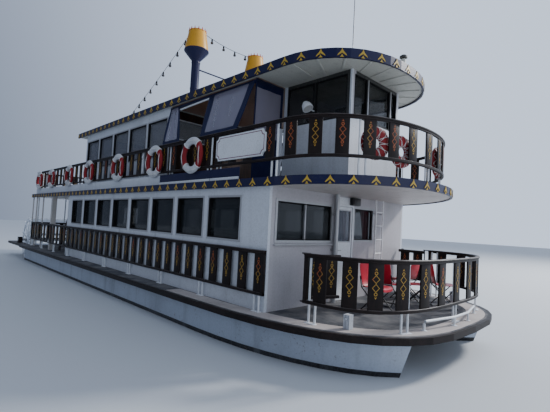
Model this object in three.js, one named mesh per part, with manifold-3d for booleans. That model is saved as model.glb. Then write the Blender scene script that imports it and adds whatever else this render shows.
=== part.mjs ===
// A twin-hulled stern-wheel paddle steamer, in millimetres, bow towards +X, port towards +Y.
// Both hulls stand on their flat bottoms at z = 0, and x = 0 is half way along the boat.
import * as THREE from "three";
import * as BufferGeometryUtils from "three/addons/utils/BufferGeometryUtils.js";
import Module from "manifold-3d";

const wasm = await Module();
wasm.setup();

// Driving dimensions
const GAP = 0.3;
const HALF_LENGTH = 10340;
const HULL = { bottom: 0, bilge: 180, top: 980, inner: 430, outer: 2600, transom: -7350, stem: 10000 };
const DECK_TOP = 1080;
const DECK_AFT = -7500;
const STRAKE_WIDTH = 60;
const CABIN = { front: 7800, aft: -2750, half: 2340, wall: 60, sill: 2233, head: 3039 };
const FASCIA_LOW = 3200;
const MID_UNDER = 3220;
const MID_TOP = 3320;
const FASCIA_HIGH = 3350;
const MID_AFT = -7700;
const TOE_TOP = 3590;
const RAIL_UPPER = { low: 3650, high: 4350, half: 2260 };
const UPPER = { front: 3150, aft: -3100, half: 1740, wall: 50, sill: 4250, head: 5285 };
const HELM = { front: 8350, aft: 6600, half: 890, wall: 50, sill: 4680, head: 5500 };
const ROOF = { aft: -3800, low: 5530, under: 5560, top: 5660, high: 5700 };
const STACK = { x: 3200, y: 1090, height: 7930, tie: 6800 };
const WHEEL = { x: -9100, z: 1215, radius: 1050, half: 2200, shaft: 60 };
const SLAT = { width: 225, thick: 24 };
const END_POST = 60;
const PITCH = { side: 430, upperAfter: 455, aft: 455, gate: 325 };
// Middles of the boards of the two front rails, from their starboard ends to the centreline
const FOREDECK_BOARDS = [308, 784, 1149, 1577, 2050, 2560];
const UPPER_BOARDS = [170, 610, 1051, 1651, 2133, 2560, 2991, 3458, 3932, 4401];

// Ahead of the cabin the middle deck and what stands on it rise towards the bow
const SHEER = { from: CABIN.front, slope: 0.038 };
const rise = (x) => Math.max(0, x - SHEER.from) * SHEER.slope;

// Fronts of the decks, roof and rails: straight sides, then a squarish curve across the bow
// columns: x where the curve starts, its reach forward, half width, power
const FRONTS = {
  deck: { start: 6040, reach: HALF_LENGTH - STRAKE_WIDTH - 6040, half: 2740, power: 3.05 },
  middle: { start: 7566, reach: 2081, half: 2380, power: 2.14 },
  roof: { start: 7410, reach: 1625, half: 1810, power: 2.25 },
  lowerRail: { start: 8550, reach: 1470, half: 2225, power: 3.1 },
  upperRail: { start: 7950, reach: 1520, half: RAIL_UPPER.half, power: 2.0 },
};

// Colours
const paint = (color, roughness = 0.5, metalness = 0) =>
  new THREE.MeshStandardMaterial({ color, roughness, metalness });
const MATERIAL = {
  hull: paint(0xd5dce4),
  deck: paint(0x8b8c8e, 0.85),
  strake: paint(0x3a2924, 0.6),
  white: paint(0xe8ebee),
  glass: paint(0x2c3a3a, 0.1),
  brown: paint(0x2a1a18, 0.45),
  navy: paint(0x1b2450, 0.5),
  red: paint(0xb3161f, 0.5),
  buoy: paint(0xc8321f, 0.6),
  cloth: paint(0x1d2b52, 0.9),
  gold: paint(0xe0a417, 0.45),
  steel: paint(0x9a9d9c, 0.45, 0.8),
  black: paint(0x191919, 0.6),
};

const model = new THREE.Group();

const SIDES = [
  { name: "starboard", y: -1 },
  { name: "port", y: 1 },
];

// Shape helpers
function block([x0, x1], [y0, y1], [z0, z1]) {
  const geometry = new THREE.BoxGeometry(x1 - x0, y1 - y0, z1 - z0);
  return geometry.translate((x0 + x1) / 2, (y0 + y1) / 2, (z0 + z1) / 2);
}

function sideBlock(side, xs, [inner, outer], zs) {
  return block(xs, side.y > 0 ? [inner, outer] : [-outer, -inner], zs);
}

function plate(points, [z0, z1], holes = []) {
  const shape = new THREE.Shape(points.map(([u, v]) => new THREE.Vector2(u, v)));
  const settings = { depth: z1 - z0, bevelEnabled: false };
  const whole = new THREE.ExtrudeGeometry(shape, settings).translate(0, 0, z0);
  return holes.length === 0 ? whole : cut(whole, holes.map((hole) => plate(hole, [z0 - 10, z1 + 10])));
}

function rectangle([u0, u1], [v0, v1]) {
  return [[u0, v0], [u1, v0], [u1, v1], [u0, v1]];
}

// A wall along X whose outline and holes are given as x and z
function wallAlongX(outline, holes, [y0, y1]) {
  return plate(outline, [0, y1 - y0], holes).rotateX(Math.PI / 2).translate(0, y1, 0);
}

// A wall along Y whose outline and holes are given as y and z
function wallAlongY(outline, holes, [x0, x1]) {
  const turn = new THREE.Matrix4().makeBasis(
    new THREE.Vector3(0, 1, 0), new THREE.Vector3(0, 0, 1), new THREE.Vector3(1, 0, 0));
  return plate(outline, [0, x1 - x0], holes).applyMatrix4(turn).translate(x0, 0, 0);
}

function rod(from, to, radius, sides = 10) {
  const start = new THREE.Vector3(...from);
  const line = new THREE.Vector3(...to).sub(start);
  const geometry = new THREE.CylinderGeometry(radius, radius, line.length(), sides);
  const up = new THREE.Vector3(0, 1, 0);
  const turn = new THREE.Quaternion().setFromUnitVectors(up, line.clone().normalize());
  return geometry.applyQuaternion(turn).translate(...start.addScaledVector(line, 0.5).toArray());
}

function lathe(profile, sides) {
  const points = profile.map(([radius, z]) => new THREE.Vector2(radius, z));
  return new THREE.LatheGeometry(points, sides).rotateX(Math.PI / 2);
}

function solid(geometry) {
  const bare = geometry.clone();
  bare.deleteAttribute("normal");
  bare.deleteAttribute("uv");
  const merged = BufferGeometryUtils.mergeVertices(bare, 1e-3);
  const vertProperties = new Float32Array(merged.attributes.position.array);
  const triVerts = new Uint32Array(merged.index.array);
  return new wasm.Manifold(new wasm.Mesh({ numProp: 3, vertProperties, triVerts }));
}

function surface(manifold) {
  const mesh = manifold.getMesh();
  const geometry = new THREE.BufferGeometry();
  geometry.setAttribute("position", new THREE.BufferAttribute(mesh.vertProperties, 3));
  geometry.setIndex(new THREE.BufferAttribute(mesh.triVerts, 1));
  return geometry;
}

function join(geometries) {
  return surface(geometries.map(solid).reduce((whole, next) => whole.add(next)));
}

function cut(geometry, tools) {
  return surface(tools.map(solid).reduce((whole, tool) => whole.subtract(tool), solid(geometry)));
}

function sheer(geometry) {
  const { from, slope } = SHEER;
  const lift = new THREE.Matrix4().set(1, 0, 0, 0, 0, 1, 0, 0, slope, 0, 1, -from * slope, 0, 0, 0, 1);
  const [front, rest] = solid(geometry).splitByPlane([1, 0, 0], from);
  return join([surface(front).applyMatrix4(lift), surface(rest)]);
}

// The same shape on the other side of the centreline
function mirrored(geometry) {
  return surface(solid(geometry).mirror([0, 1, 0]));
}

function add(name, geometry, material) {
  const mesh = new THREE.Mesh(geometry, material);
  mesh.name = name;
  model.add(mesh);
  return mesh;
}

// Curves across the bow
function frontCurve({ start, reach, half, power }, out = 0, steps = 20) {
  return Array.from({ length: steps + 1 }, (_, i) => {
    const angle = (i / steps - 0.5) * Math.PI;
    const along = Math.pow(Math.abs(Math.cos(angle)), 2 / power);
    const across = Math.sign(angle) * Math.pow(Math.abs(Math.sin(angle)), 2 / power);
    return [start + (reach + out) * along, (half + out) * across];
  });
}

function deckOutline(front, aft, out = 0) {
  return [[aft, -front.half - out], ...frontCurve(front, out), [aft, front.half + out]];
}

function ringOutline(front, aft, inner, outer) {
  const outside = deckOutline(front, aft, outer);
  const inside = deckOutline(front, aft, inner).reverse();
  return [...outside, ...inside];
}

// Fences: a top rail, a bottom rail and slats along a line in plan
function along(line, distance, shift) {
  let left = distance;
  for (let i = 1; i < line.length; i += 1) {
    const [ax, ay] = line[i - 1];
    const [bx, by] = line[i];
    const length = Math.hypot(bx - ax, by - ay);
    if (left <= length || i === line.length - 1) {
      const [ux, uy] = [(bx - ax) / length, (by - ay) / length];
      return [ax + ux * left - uy * shift, ay + uy * left + ux * shift];
    }
    left -= length;
  }
  return line[0];
}

function lineLength(line) {
  return line.slice(1).reduce((sum, [x, y], i) => sum + Math.hypot(x - line[i][0], y - line[i][1]), 0);
}

function offsetLine(line, shift) {
  return line.map((point, i) => {
    const [px, py] = line[Math.max(i - 1, 0)];
    const [nx, ny] = line[Math.min(i + 1, line.length - 1)];
    const length = Math.hypot(nx - px, ny - py);
    return [point[0] - ((ny - py) / length) * shift, point[1] + ((nx - px) / length) * shift];
  });
}

function band(line, thick, zs) {
  return plate([...offsetLine(line, -thick / 2), ...offsetLine(line, thick / 2).reverse()], zs);
}

function boardOutline(line, middle, width, thick) {
  const corner = (end, face) => along(line, middle + (end * width) / 2, (face * thick) / 2);
  return [corner(-1, -1), corner(1, -1), corner(1, 1), corner(-1, 1)];
}

// Feet: pairs of thin posts on a small plate
const FEET = { first: 160, spacing: 1600, apart: 120, post: 28, plate: [200, 70, 12] };

function feetAlong(line, bottom, top) {
  const span = lineLength(line) - 2 * FEET.first;
  const count = Math.max(1, Math.round(span / FEET.spacing));
  const [plateLength, plateWidth, plateThick] = FEET.plate;
  return Array.from({ length: count + 1 }, (_, i) => FEET.first + (span * i) / count).flatMap((place) => [
    plate(boardOutline(line, place, plateLength, plateWidth), [bottom, bottom + plateThick]),
    ...[-1, 1].map((end) =>
      plate(boardOutline(line, place + (end * FEET.apart) / 2, FEET.post, FEET.post), [bottom, top])),
  ]);
}

function evenly(line, pitch, shift = 0) {
  const length = lineLength(line);
  const count = Math.max(1, Math.round(length / pitch));
  return Array.from({ length: count }, (_, i) => (length * (i + 0.5)) / count + shift);
}

function bothSides(line, places) {
  const length = lineLength(line);
  return [...places, length / 2, ...places.map((place) => length - place)];
}

function fence(line, { low, high, places, rail = 50, thick = 50, feet = null, ends = false }) {
  const pieces = [band(line, thick, [high - rail, high]), band(line, thick, [low, low + rail])];
  const posts = ends ? [END_POST / 2, lineLength(line) - END_POST / 2] : [];
  for (const middle of posts) {
    pieces.push(plate(boardOutline(line, middle, END_POST, thick - 4), [low + rail / 2, high - rail / 2]));
  }
  for (const middle of places) {
    const outline = boardOutline(line, middle, SLAT.width, SLAT.thick);
    pieces.push(plate(outline, [low + rail / 2, high - rail / 2]));
  }
  if (feet !== null) {
    pieces.push(...feetAlong(line, feet, low + rail / 2));
  }
  return join(pieces);
}

// Hulls: flat-bottomed pontoons with a raked stem on their own centreline
// columns: x where each side starts to curve in, x of the curve's control point
const BOW = { inner: [6700, 9300], outer: [6400, 9100], steps: 8 };

function bowCurve([start, control], y, narrow, rake) {
  const inset = y === HULL.inner ? y + narrow : y - narrow;
  const middle = (HULL.inner + HULL.outer) / 2;
  const curve = new THREE.QuadraticBezierCurve(new THREE.Vector2(start - rake, inset),
    new THREE.Vector2(control - rake, inset), new THREE.Vector2(HULL.stem - rake, middle));
  return curve.getPoints(BOW.steps).map((point) => [point.x, point.y]);
}

function hullOutline(side, narrow, rake) {
  const { inner, outer, transom } = HULL;
  const inside = bowCurve(BOW.inner, inner, narrow, rake);
  const outside = bowCurve(BOW.outer, outer, narrow, rake).reverse().slice(1);
  const outline = [[transom, inner + narrow], ...inside, ...outside, [transom, outer - narrow]];
  const placed = outline.map(([x, y]) => [x, y * side.y]);
  return side.y > 0 ? placed : placed.reverse();
}

function loft(sections) {
  const count = sections[0].points.length;
  const positions = sections.flatMap(({ z, points }) => points.flatMap(([x, y]) => [x, y, z]));
  const index = [];
  for (let level = 0; level + 1 < sections.length; level += 1) {
    for (let i = 0; i < count; i += 1) {
      const [a, b] = [level * count + i, level * count + ((i + 1) % count)];
      index.push(a, b, b + count, a, b + count, a + count);
    }
  }
  const cap = (level, flip) => {
    const contour = sections[level].points.map(([x, y]) => new THREE.Vector2(x, y));
    for (const [a, b, c] of THREE.ShapeUtils.triangulateShape(contour, [])) {
      index.push(...(flip ? [a, c, b] : [a, b, c]).map((i) => i + level * count));
    }
  };
  cap(0, true);
  cap(sections.length - 1, false);
  const geometry = new THREE.BufferGeometry();
  geometry.setAttribute("position", new THREE.Float32BufferAttribute(positions, 3));
  geometry.setIndex(index);
  return geometry;
}

const ENGINE = { x: [-4700, -3300], y: [-1980, -1180], z: [230, 900] };
const RUDDER = { x: -7440, y: 1515, low: 150, high: 840, reach: 520, stock: 28 };

function hull(side) {
  const body = loft([
    { z: HULL.bottom, points: hullOutline(side, 150, 335) },
    { z: HULL.bilge, points: hullOutline(side, 0, 275) },
    { z: HULL.top - GAP, points: hullOutline(side, 0, 0) },
  ]);
  const lug = sideBlock(side, [RUDDER.x - 70, HULL.transom + 50], [RUDDER.y - 60, RUDDER.y + 60],
    [860, 920]);
  const stock = [RUDDER.x, side.y * RUDDER.y];
  const bore = rod([...stock, 800], [...stock, 990], RUDDER.stock + 3, 16);
  const whole = cut(join([body, lug]), [bore]);
  if (side.y > 0) {
    return whole;
  }
  const well = block([ENGINE.x[0] - 150, ENGINE.x[1] + 150], [ENGINE.y[0] - 150, ENGINE.y[1] + 150],
    [ENGINE.z[0], HULL.top + 50]);
  return cut(whole, [well]);
}

function rudder(side) {
  const y = side.y * RUDDER.y;
  const stock = rod([RUDDER.x, y, RUDDER.low], [RUDDER.x, y, 950], RUDDER.stock, 12);
  const blade = block([RUDDER.x - RUDDER.reach, RUDDER.x], [y - 15, y + 15], [RUDDER.low, RUDDER.high]);
  return join([stock, blade]);
}

for (const side of SIDES) {
  add(`hull_${side.name}`, hull(side), MATERIAL.hull);
  add(`rudder_${side.name}`, rudder(side), MATERIAL.black);
}
add("engine", block(ENGINE.x, ENGINE.y, [ENGINE.z[0] + GAP, ENGINE.z[1]]), MATERIAL.steel);

// Main deck, rubbing strake and the beams that carry the paddle wheel
const BITTS = { x: 9225, y: 1975, post: 52, arm: 90, height: 215 };

function bitts(side) {
  const y = side.y * BITTS.y;
  const reach = BITTS.post / 2 + 25;
  const post = block([BITTS.x - reach, BITTS.x + reach], [y - BITTS.post, y + BITTS.post],
    [DECK_TOP - 20, DECK_TOP + BITTS.height]);
  const z = DECK_TOP + BITTS.height - 60;
  return join([post, rod([BITTS.x, y - BITTS.arm, z], [BITTS.x, y + BITTS.arm, z], 18)]);
}
const deckPlate = plate(deckOutline(FRONTS.deck, DECK_AFT), [HULL.top, DECK_TOP]);
add("main_deck", join([deckPlate, ...SIDES.map(bitts)]), MATERIAL.deck);
add("strake", plate(ringOutline(FRONTS.deck, DECK_AFT, GAP, STRAKE_WIDTH), [HULL.top, DECK_TOP]),
  MATERIAL.strake);

const BEARING = { y: [2380, 2540], z: [1100, 1340], reach: 110 };

function sternBeam(side) {
  const beam = sideBlock(side, [-HALF_LENGTH, DECK_AFT - GAP], [2340, 2700], [HULL.top, DECK_TOP]);
  const housing = sideBlock(side, [WHEEL.x - BEARING.reach, WHEEL.x + BEARING.reach], BEARING.y,
    [DECK_TOP - 10, BEARING.z[1]]);
  const ys = [side.y * (BEARING.y[0] - 50), side.y * (BEARING.y[1] + 50)];
  const bore = rod([WHEEL.x, ys[0], WHEEL.z], [WHEEL.x, ys[1], WHEEL.z], WHEEL.shaft + 6, 16);
  return cut(join([beam, housing]), [bore]);
}

for (const side of SIDES) {
  add(`stern_beam_${side.name}`, sternBeam(side), MATERIAL.strake);
}

// Paddle wheel: three rims with spokes, and boards across them
const PADDLE = { arms: 10, rim: [930, 985], rimThick: 40, board: [830, 1050], boardThick: 30, hub: 150 };

function rim(y) {
  const [inner, outer] = PADDLE.rim;
  const profile = [[inner, -20], [outer, -20], [outer, 20], [inner, 20], [inner, -20]];
  return lathe(profile, 20).rotateX(Math.PI / 2).translate(0, y, 0);
}

function paddleWheel() {
  const pieces = [rod([0, -BEARING.y[1], 0], [0, BEARING.y[1], 0], WHEEL.shaft, 16)];
  for (const y of [-WHEEL.half + 60, 0, WHEEL.half - 60]) {
    pieces.push(rim(y), rod([0, y - 45, 0], [0, y + 45, 0], PADDLE.hub, 12));
    for (let i = 0; i < PADDLE.arms; i += 1) {
      const spoke = block([-35, 35], [y - 15, y + 15], [0, PADDLE.rim[0] + 20]);
      pieces.push(spoke.rotateY((i * 2 * Math.PI) / PADDLE.arms));
    }
  }
  for (let i = 0; i < PADDLE.arms; i += 1) {
    const board = block([-PADDLE.boardThick / 2, PADDLE.boardThick / 2], [-WHEEL.half, WHEEL.half],
      PADDLE.board);
    pieces.push(board.rotateY((i * 2 * Math.PI) / PADDLE.arms));
  }
  return join(pieces);
}

const wheel = add("paddle_wheel", paddleWheel(), MATERIAL.white);
wheel.position.set(WHEEL.x, 0, WHEEL.z);

// Saloon walls on the main deck
const WALL_Z = [DECK_TOP + GAP, MID_UNDER - GAP];
const WINDOW = { first: 7047, pitch: 1187, width: 1000, count: 8 };
const WALL_AFT = CABIN.aft + CABIN.wall;
const WALL_FRONT = CABIN.front - CABIN.wall;

const GLASS = 8;

function saloonSide(side) {
  const holes = Array.from({ length: WINDOW.count }, (_, i) => {
    const high = WINDOW.first - i * WINDOW.pitch;
    return rectangle([high - WINDOW.width, high], [CABIN.sill, CABIN.head]);
  });
  const ys = side.y > 0 ? [CABIN.half - CABIN.wall, CABIN.half] : [-CABIN.half, CABIN.wall - CABIN.half];
  return wallAlongX(rectangle([CABIN.aft, CABIN.front], WALL_Z), holes, ys);
}

function saloonGlass(side) {
  const low = WINDOW.first - (WINDOW.count - 1) * WINDOW.pitch - WINDOW.width - 30;
  const inside = CABIN.half - CABIN.wall - GAP;
  return sideBlock(side, [low, WINDOW.first + 30], [inside - GLASS, inside],
    [CABIN.sill - 30, CABIN.head + 30]);
}

// columns: y from, y to, z from, z to
const FRONT_HOLES = {
  slide: { y: [-2165, -600], z: [2271, 2989] },
  door: { y: [-470, 110], z: [1130, 3000] },
  curtain: { y: [170, 930], z: [2290, 3000] },
};
const AFT_DOOR = { y: [-380, 380], z: [1130, 3000] };
const HELM_DOOR = { y: [-320, 320], z: [3360, 5300] };
const DOOR_GAP = 6;
const inY = [GAP - CABIN.half + CABIN.wall, CABIN.half - CABIN.wall - GAP];

function openings(table) {
  return Object.values(table).map(({ y, z }) => rectangle(y, z));
}

for (const side of SIDES) {
  add(`saloon_wall_${side.name}`, saloonSide(side), MATERIAL.white);
  add(`saloon_glass_${side.name}`, saloonGlass(side), MATERIAL.glass);
}
add("saloon_wall_front",
  wallAlongY(rectangle(inY, WALL_Z), openings(FRONT_HOLES), [WALL_FRONT, CABIN.front]), MATERIAL.white);
add("saloon_wall_aft",
  wallAlongY(rectangle(inY, WALL_Z), openings({ door: AFT_DOOR }), [CABIN.aft, WALL_AFT]), MATERIAL.white);

const { slide, door, curtain } = FRONT_HOLES;
const frontSheet = [[slide.y[0] - 30, slide.z[0] - 30], [slide.y[1] + 30, slide.z[0] - 30],
  [slide.y[1] + 30, door.z[1] + 15], [curtain.y[0] - 30, door.z[1] + 15],
  [curtain.y[0] - 30, curtain.z[0] - 30], [curtain.y[1] + 30, curtain.z[0] - 30],
  [curtain.y[1] + 30, 3060], [slide.y[0] - 30, 3060]];
add("saloon_glass_front",
  wallAlongY(frontSheet, [], [WALL_FRONT - GLASS - GAP, WALL_FRONT - GAP]), MATERIAL.glass);

// Doors hang in their openings, with a pane of glass held in the leaf
function leaf({ y, z }, [x0, x1], sill) {
  const [y0, y1] = [y[0] + DOOR_GAP, y[1] - DOOR_GAP];
  const [z0, z1] = [z[0] + DOOR_GAP, z[1] - DOOR_GAP];
  const hole = rectangle([y0 + 90, y1 - 90], [sill, z1 - 120]);
  const frame = wallAlongY(rectangle([y0, y1], [z0, z1]), [hole], [x0, x1]);
  const middle = (x0 + x1) / 2;
  return join([frame, block([middle - 4, middle + 4], [y0 + 80, y1 - 80], [sill - 10, z1 - 110])]);
}
add("front_door", leaf(FRONT_HOLES.door, [WALL_FRONT + 10, CABIN.front], 2271), MATERIAL.white);
add("aft_door", leaf(AFT_DOOR, [CABIN.aft, CABIN.aft + 50], 2271), MATERIAL.white);

// Fences and rails on the main deck
const FENCE_Y = CABIN.half + 55;
const LOWER_RAIL = { low: 1370, high: 2140 };
const FENCE = { aft: DECK_AFT + 90, front: CABIN.front + 20 };
const FENCE_Z = { low: 1360, high: 2115 };

for (const side of SIDES) {
  const line = [[FENCE.aft, side.y * FENCE_Y], [FENCE.front, side.y * FENCE_Y]];
  const boards = evenly(line, PITCH.side, 80);
  const sideFence = fence(line, { ...FENCE_Z, places: boards, feet: DECK_TOP + GAP, ends: true });
  add(`side_fence_${side.name}`, sideFence, MATERIAL.brown);
}
const aftX = FENCE.aft + 50;
const aftLine = [[aftX, -FENCE_Y + 60], [aftX, FENCE_Y - 60]];
const aftPosts = [-2200, -1100, 0, 1100, 2200].map((y) =>
  block([aftX - 22, aftX + 22], [y - 22, y + 22], WALL_Z));
const aftFence = fence(aftLine, { ...FENCE_Z, places: evenly(aftLine, PITCH.aft) });
add("aft_fence", join([aftFence, ...aftPosts]), MATERIAL.brown);

// Boarding gates: each leaf turns on a pin held by two lugs on the end of the foredeck rail.
// The starboard gate stands open and the port gate is closed.
const GATE = { x: 8490, y: 2140, length: 650, low: 1400, high: 2110, pin: 12, bore: 18, lug: 20 };
const GATE_SWING = { starboard: -110, port: 0 };

function gateLugs(side) {
  const pin = [GATE.x, side.y * GATE.y];
  const line = [[GATE.x + 90, side.y * FRONTS.lowerRail.half], [GATE.x - 22, side.y * (GATE.y - 21)]];
  const bore = rod([...pin, LOWER_RAIL.low - 50], [...pin, LOWER_RAIL.high + 50], GATE.bore, 16);
  const levels = [LOWER_RAIL.low, LOWER_RAIL.high - GATE.lug];
  return levels.map((z) => cut(band(line, 60, [z, z + GATE.lug]), [bore]));
}

function gate() {
  const line = [[-GATE.length, 0], [0, 0]];
  const style = { low: GATE.low, high: GATE.high, thick: 40, places: evenly(line, PITCH.gate) };
  const pin = rod([0, 0, LOWER_RAIL.low + 2], [0, 0, LOWER_RAIL.high - 2], GATE.pin, 12);
  return join([fence(line, style), pin]);
}

const foredeckLine = frontCurve(FRONTS.lowerRail);
const foredeckPlaces = bothSides(foredeckLine, FOREDECK_BOARDS);
const foredeckRail = fence(foredeckLine,
  { ...LOWER_RAIL, places: foredeckPlaces, feet: DECK_TOP + GAP, ends: true });
add("foredeck_rail", join([foredeckRail, ...SIDES.flatMap(gateLugs)]), MATERIAL.brown);
for (const side of SIDES) {
  const leafMesh = add(`gate_${side.name}`, gate(), MATERIAL.brown);
  leafMesh.position.set(GATE.x, side.y * GATE.y, 0);
  leafMesh.rotation.z = THREE.MathUtils.degToRad(GATE_SWING[side.name]);
}

// Middle deck with its stair opening, blue fascia and stair
const STAIR = { x: [-4900, -3250], y: [-1950, -1200], steps: 9 };
const HATCH = rectangle([-5000, -3250], [-2000, -1150]);
// Posts between the decks are joined to the middle deck
// columns: x, y, thickness
const POSTS = [[-4800, 2260, 165], [-6020, 2345, 44], [-7040, 2345, 44], [-7640, 2345, 44]];

function deckPost(side, [x, y, thick]) {
  return sideBlock(side, [x - thick / 2, x + thick / 2], [y - thick / 2, y + thick / 2],
    [DECK_TOP + GAP, MID_UNDER + 10]);
}

const middlePlate = plate(deckOutline(FRONTS.middle, MID_AFT), [MID_UNDER, MID_TOP], [HATCH]);
const posts = SIDES.flatMap((side) => POSTS.map((row) => deckPost(side, row)));
add("middle_deck", join([sheer(middlePlate), ...posts]), MATERIAL.white);
add("middle_fascia", sheer(plate(ringOutline(FRONTS.middle, MID_AFT, GAP, 40), [FASCIA_LOW, FASCIA_HIGH])),
  MATERIAL.navy);

function stair() {
  const [aft, front] = STAIR.x;
  const rise = (MID_TOP - DECK_TOP) / STAIR.steps;
  const run = (front - 60 - aft) / (STAIR.steps - 1);
  const pieces = [];
  for (const y of STAIR.y) {
    const outline = [[aft - 40, DECK_TOP + GAP], [aft + 180, DECK_TOP + GAP],
      [front - 20, MID_UNDER - 60], [front - 20, MID_TOP], [front - 120, MID_TOP]];
    pieces.push(wallAlongX(outline, [], [y - 15, y + 15]));
  }
  for (let i = 1; i < STAIR.steps; i += 1) {
    const x = aft + run * (i - 0.5);
    pieces.push(block([x - 80, x + 120], STAIR.y, [DECK_TOP + i * rise - 30, DECK_TOP + i * rise]));
  }
  return join(pieces);
}
add("stair", stair(), MATERIAL.brown);

// Rails on the middle deck, with toe board, lifebuoys and blank name boards
const UPPER_FRONT = 6000;
const upperStyle = { ...RAIL_UPPER, feet: MID_TOP + GAP };
const upperFrontLine = [[UPPER_FRONT, -RAIL_UPPER.half], ...frontCurve(FRONTS.upperRail),
  [UPPER_FRONT, RAIL_UPPER.half]];
const NAME_BOARD = { x: [6050, 7600], z: [3780, 4270], notch: 75 };

function nameBoard(side) {
  const { x: [x0, x1], z: [z0, z1], notch } = NAME_BOARD;
  const outline = [[x0, z0 + notch], [x0 + notch, z0], [x1 - notch, z0], [x1, z0 + notch],
    [x1, z1 - notch], [x1 - notch, z1], [x0 + notch, z1], [x0, z1 - notch]];
  const [inner, outer] = [RAIL_UPPER.half + 5, RAIL_UPPER.half + 40];
  return wallAlongX(outline, [], side.y > 0 ? [inner, outer] : [-outer, -inner]);
}
function toeBoard(xs) {
  return SIDES.map((side) => sideBlock(side, xs, [RAIL_UPPER.half + 14, RAIL_UPPER.half + 30],
    [MID_TOP + 5, TOE_TOP]));
}
const upperFront = fence(upperFrontLine, { ...upperStyle, places: bothSides(upperFrontLine, UPPER_BOARDS) });
const frontToe = toeBoard([UPPER_FRONT, NAME_BOARD.x[0] + 600]);
add("upper_rail_front", sheer(join([upperFront, ...frontToe, ...SIDES.map(nameBoard)])), MATERIAL.brown);
const railAft = MID_AFT + 120;
const upperAftLine = [[UPPER_FRONT - 10, -RAIL_UPPER.half], [railAft, -RAIL_UPPER.half],
  [railAft, RAIL_UPPER.half], [UPPER_FRONT - 10, RAIL_UPPER.half]].reverse();
const upperAfter = fence(upperAftLine, { ...upperStyle, places: evenly(upperAftLine, PITCH.upperAfter) });
add("upper_rail_after", join([upperAfter, ...toeBoard([railAft + 60, UPPER_FRONT - 50])]), MATERIAL.brown);

const BUOY = { outer: 400, inner: 240, thick: 50, z: 3950, y: 2350 };
const BUOY_X = [5320, 3620, 1420, -880, -2890, -5130, -6920];

function lifebuoys(side) {
  const tube = (BUOY.outer - BUOY.inner) / 2;
  const pieces = BUOY_X.map((x) => new THREE.TorusGeometry(BUOY.outer - tube, tube, 6, 14)
    .scale(1, 1, BUOY.thick / tube).rotateX(Math.PI / 2).translate(x, side.y * BUOY.y, BUOY.z));
  const ends = [BUOY_X.at(-1), BUOY_X[0]];
  pieces.push(sideBlock(side, ends, [BUOY.y - 60, BUOY.y - 20], [BUOY.z + 290, BUOY.z + 330]));
  return join(pieces);
}

// Upper cabin: white posts and lintels, glass, an open bay with canvas, and the wheelhouse
const UPPER_WINDOW = { first: 3040, pitch: 1222, width: 1100, count: 5 };
const UPPER_Z = [MID_TOP + GAP, ROOF.under - GAP];

function upperSide(side) {
  const holes = Array.from({ length: UPPER_WINDOW.count }, (_, i) => {
    const high = UPPER_WINDOW.first - i * UPPER_WINDOW.pitch;
    return rectangle([high - UPPER_WINDOW.width, high], [UPPER.sill, UPPER.head]);
  });
  const ys = side.y > 0 ? [UPPER.half - UPPER.wall, UPPER.half] : [-UPPER.half, UPPER.wall - UPPER.half];
  return wallAlongX(rectangle([UPPER.aft, UPPER.front], UPPER_Z), holes, ys);
}

const upperIn = UPPER.half - UPPER.wall - GAP;
for (const side of SIDES) {
  add(`upper_wall_${side.name}`, upperSide(side), MATERIAL.white);
  add(`upper_glass_${side.name}`,
    sideBlock(side, [UPPER.aft + 100, UPPER.front - 60], [upperIn - 8, upperIn],
      [UPPER.sill - 30, UPPER.head + 30]), MATERIAL.glass);
}
const UPPER_DOOR = { y: [300, 1000], z: [3360, 5285] };
add("upper_wall_aft", wallAlongY(rectangle([-upperIn, upperIn], UPPER_Z), openings({ door: UPPER_DOOR }),
  [UPPER.aft, UPPER.aft + UPPER.wall]), MATERIAL.white);
add("upper_door", leaf(UPPER_DOOR, [UPPER.aft, UPPER.aft + 40], 4250), MATERIAL.white);

// Curtains lean out from the roof to the rail and hang from a strip along the roof's edge
// columns: x aft and front at the top, x aft and front at the foot
const CURTAINS = [[3160, 3600, 3640, 4470], [4950, 6575, 5300, 6575]];
const CURTAIN = { top: ROOF.low - 20, foot: RAIL_UPPER.high - 20, thick: 25, strip: 70 };

function hungCurtain([topAft, topFront, footAft, footFront]) {
  const { top, foot, thick } = CURTAIN;
  const lean = (RAIL_UPPER.half - 60 - UPPER.half) / (top - foot);
  const flat = wallAlongX([[footAft, foot], [footFront, foot], [topFront, top], [topAft, top]], [], [0, thick]);
  const shear = new THREE.Matrix4().set(1, 0, 0, 0, 0, 1, -lean, UPPER.half - thick + lean * top,
    0, 0, 1, 0, 0, 0, 0, 1);
  return flat.applyMatrix4(shear);
}

function canvasSide(side) {
  const strip = block([CURTAINS[0][0], CURTAINS[1][1]], [UPPER.half - CURTAIN.thick, UPPER.half],
    [CURTAIN.top - CURTAIN.strip, CURTAIN.top]);
  const whole = join([strip, ...CURTAINS.map(hungCurtain)]);
  return side.y > 0 ? whole : mirrored(whole);
}

function canvasFront(side) {
  return sideBlock(side, [6560, 6585], [HELM.half + 20, UPPER.half], [MID_TOP + 40, ROOF.under - GAP]);
}
for (const side of SIDES) {
  add(`canvas_${side.name}`, join([canvasSide(side), canvasFront(side)]), MATERIAL.cloth);
}

// Wheelhouse
const helmIn = HELM.half - HELM.wall - GAP;
// columns: y from, y to of each pane across the front
const HELM_PANES = [{ y: [-790, -370] }, { y: [-290, 500] }, { y: [580, 790] }];

const helmSide = [[HELM.aft, UPPER_Z[0]], [SHEER.from, UPPER_Z[0]],
  [HELM.front, UPPER_Z[0] + rise(HELM.front)], [HELM.front, UPPER_Z[1]], [HELM.aft, UPPER_Z[1]]];

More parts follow.
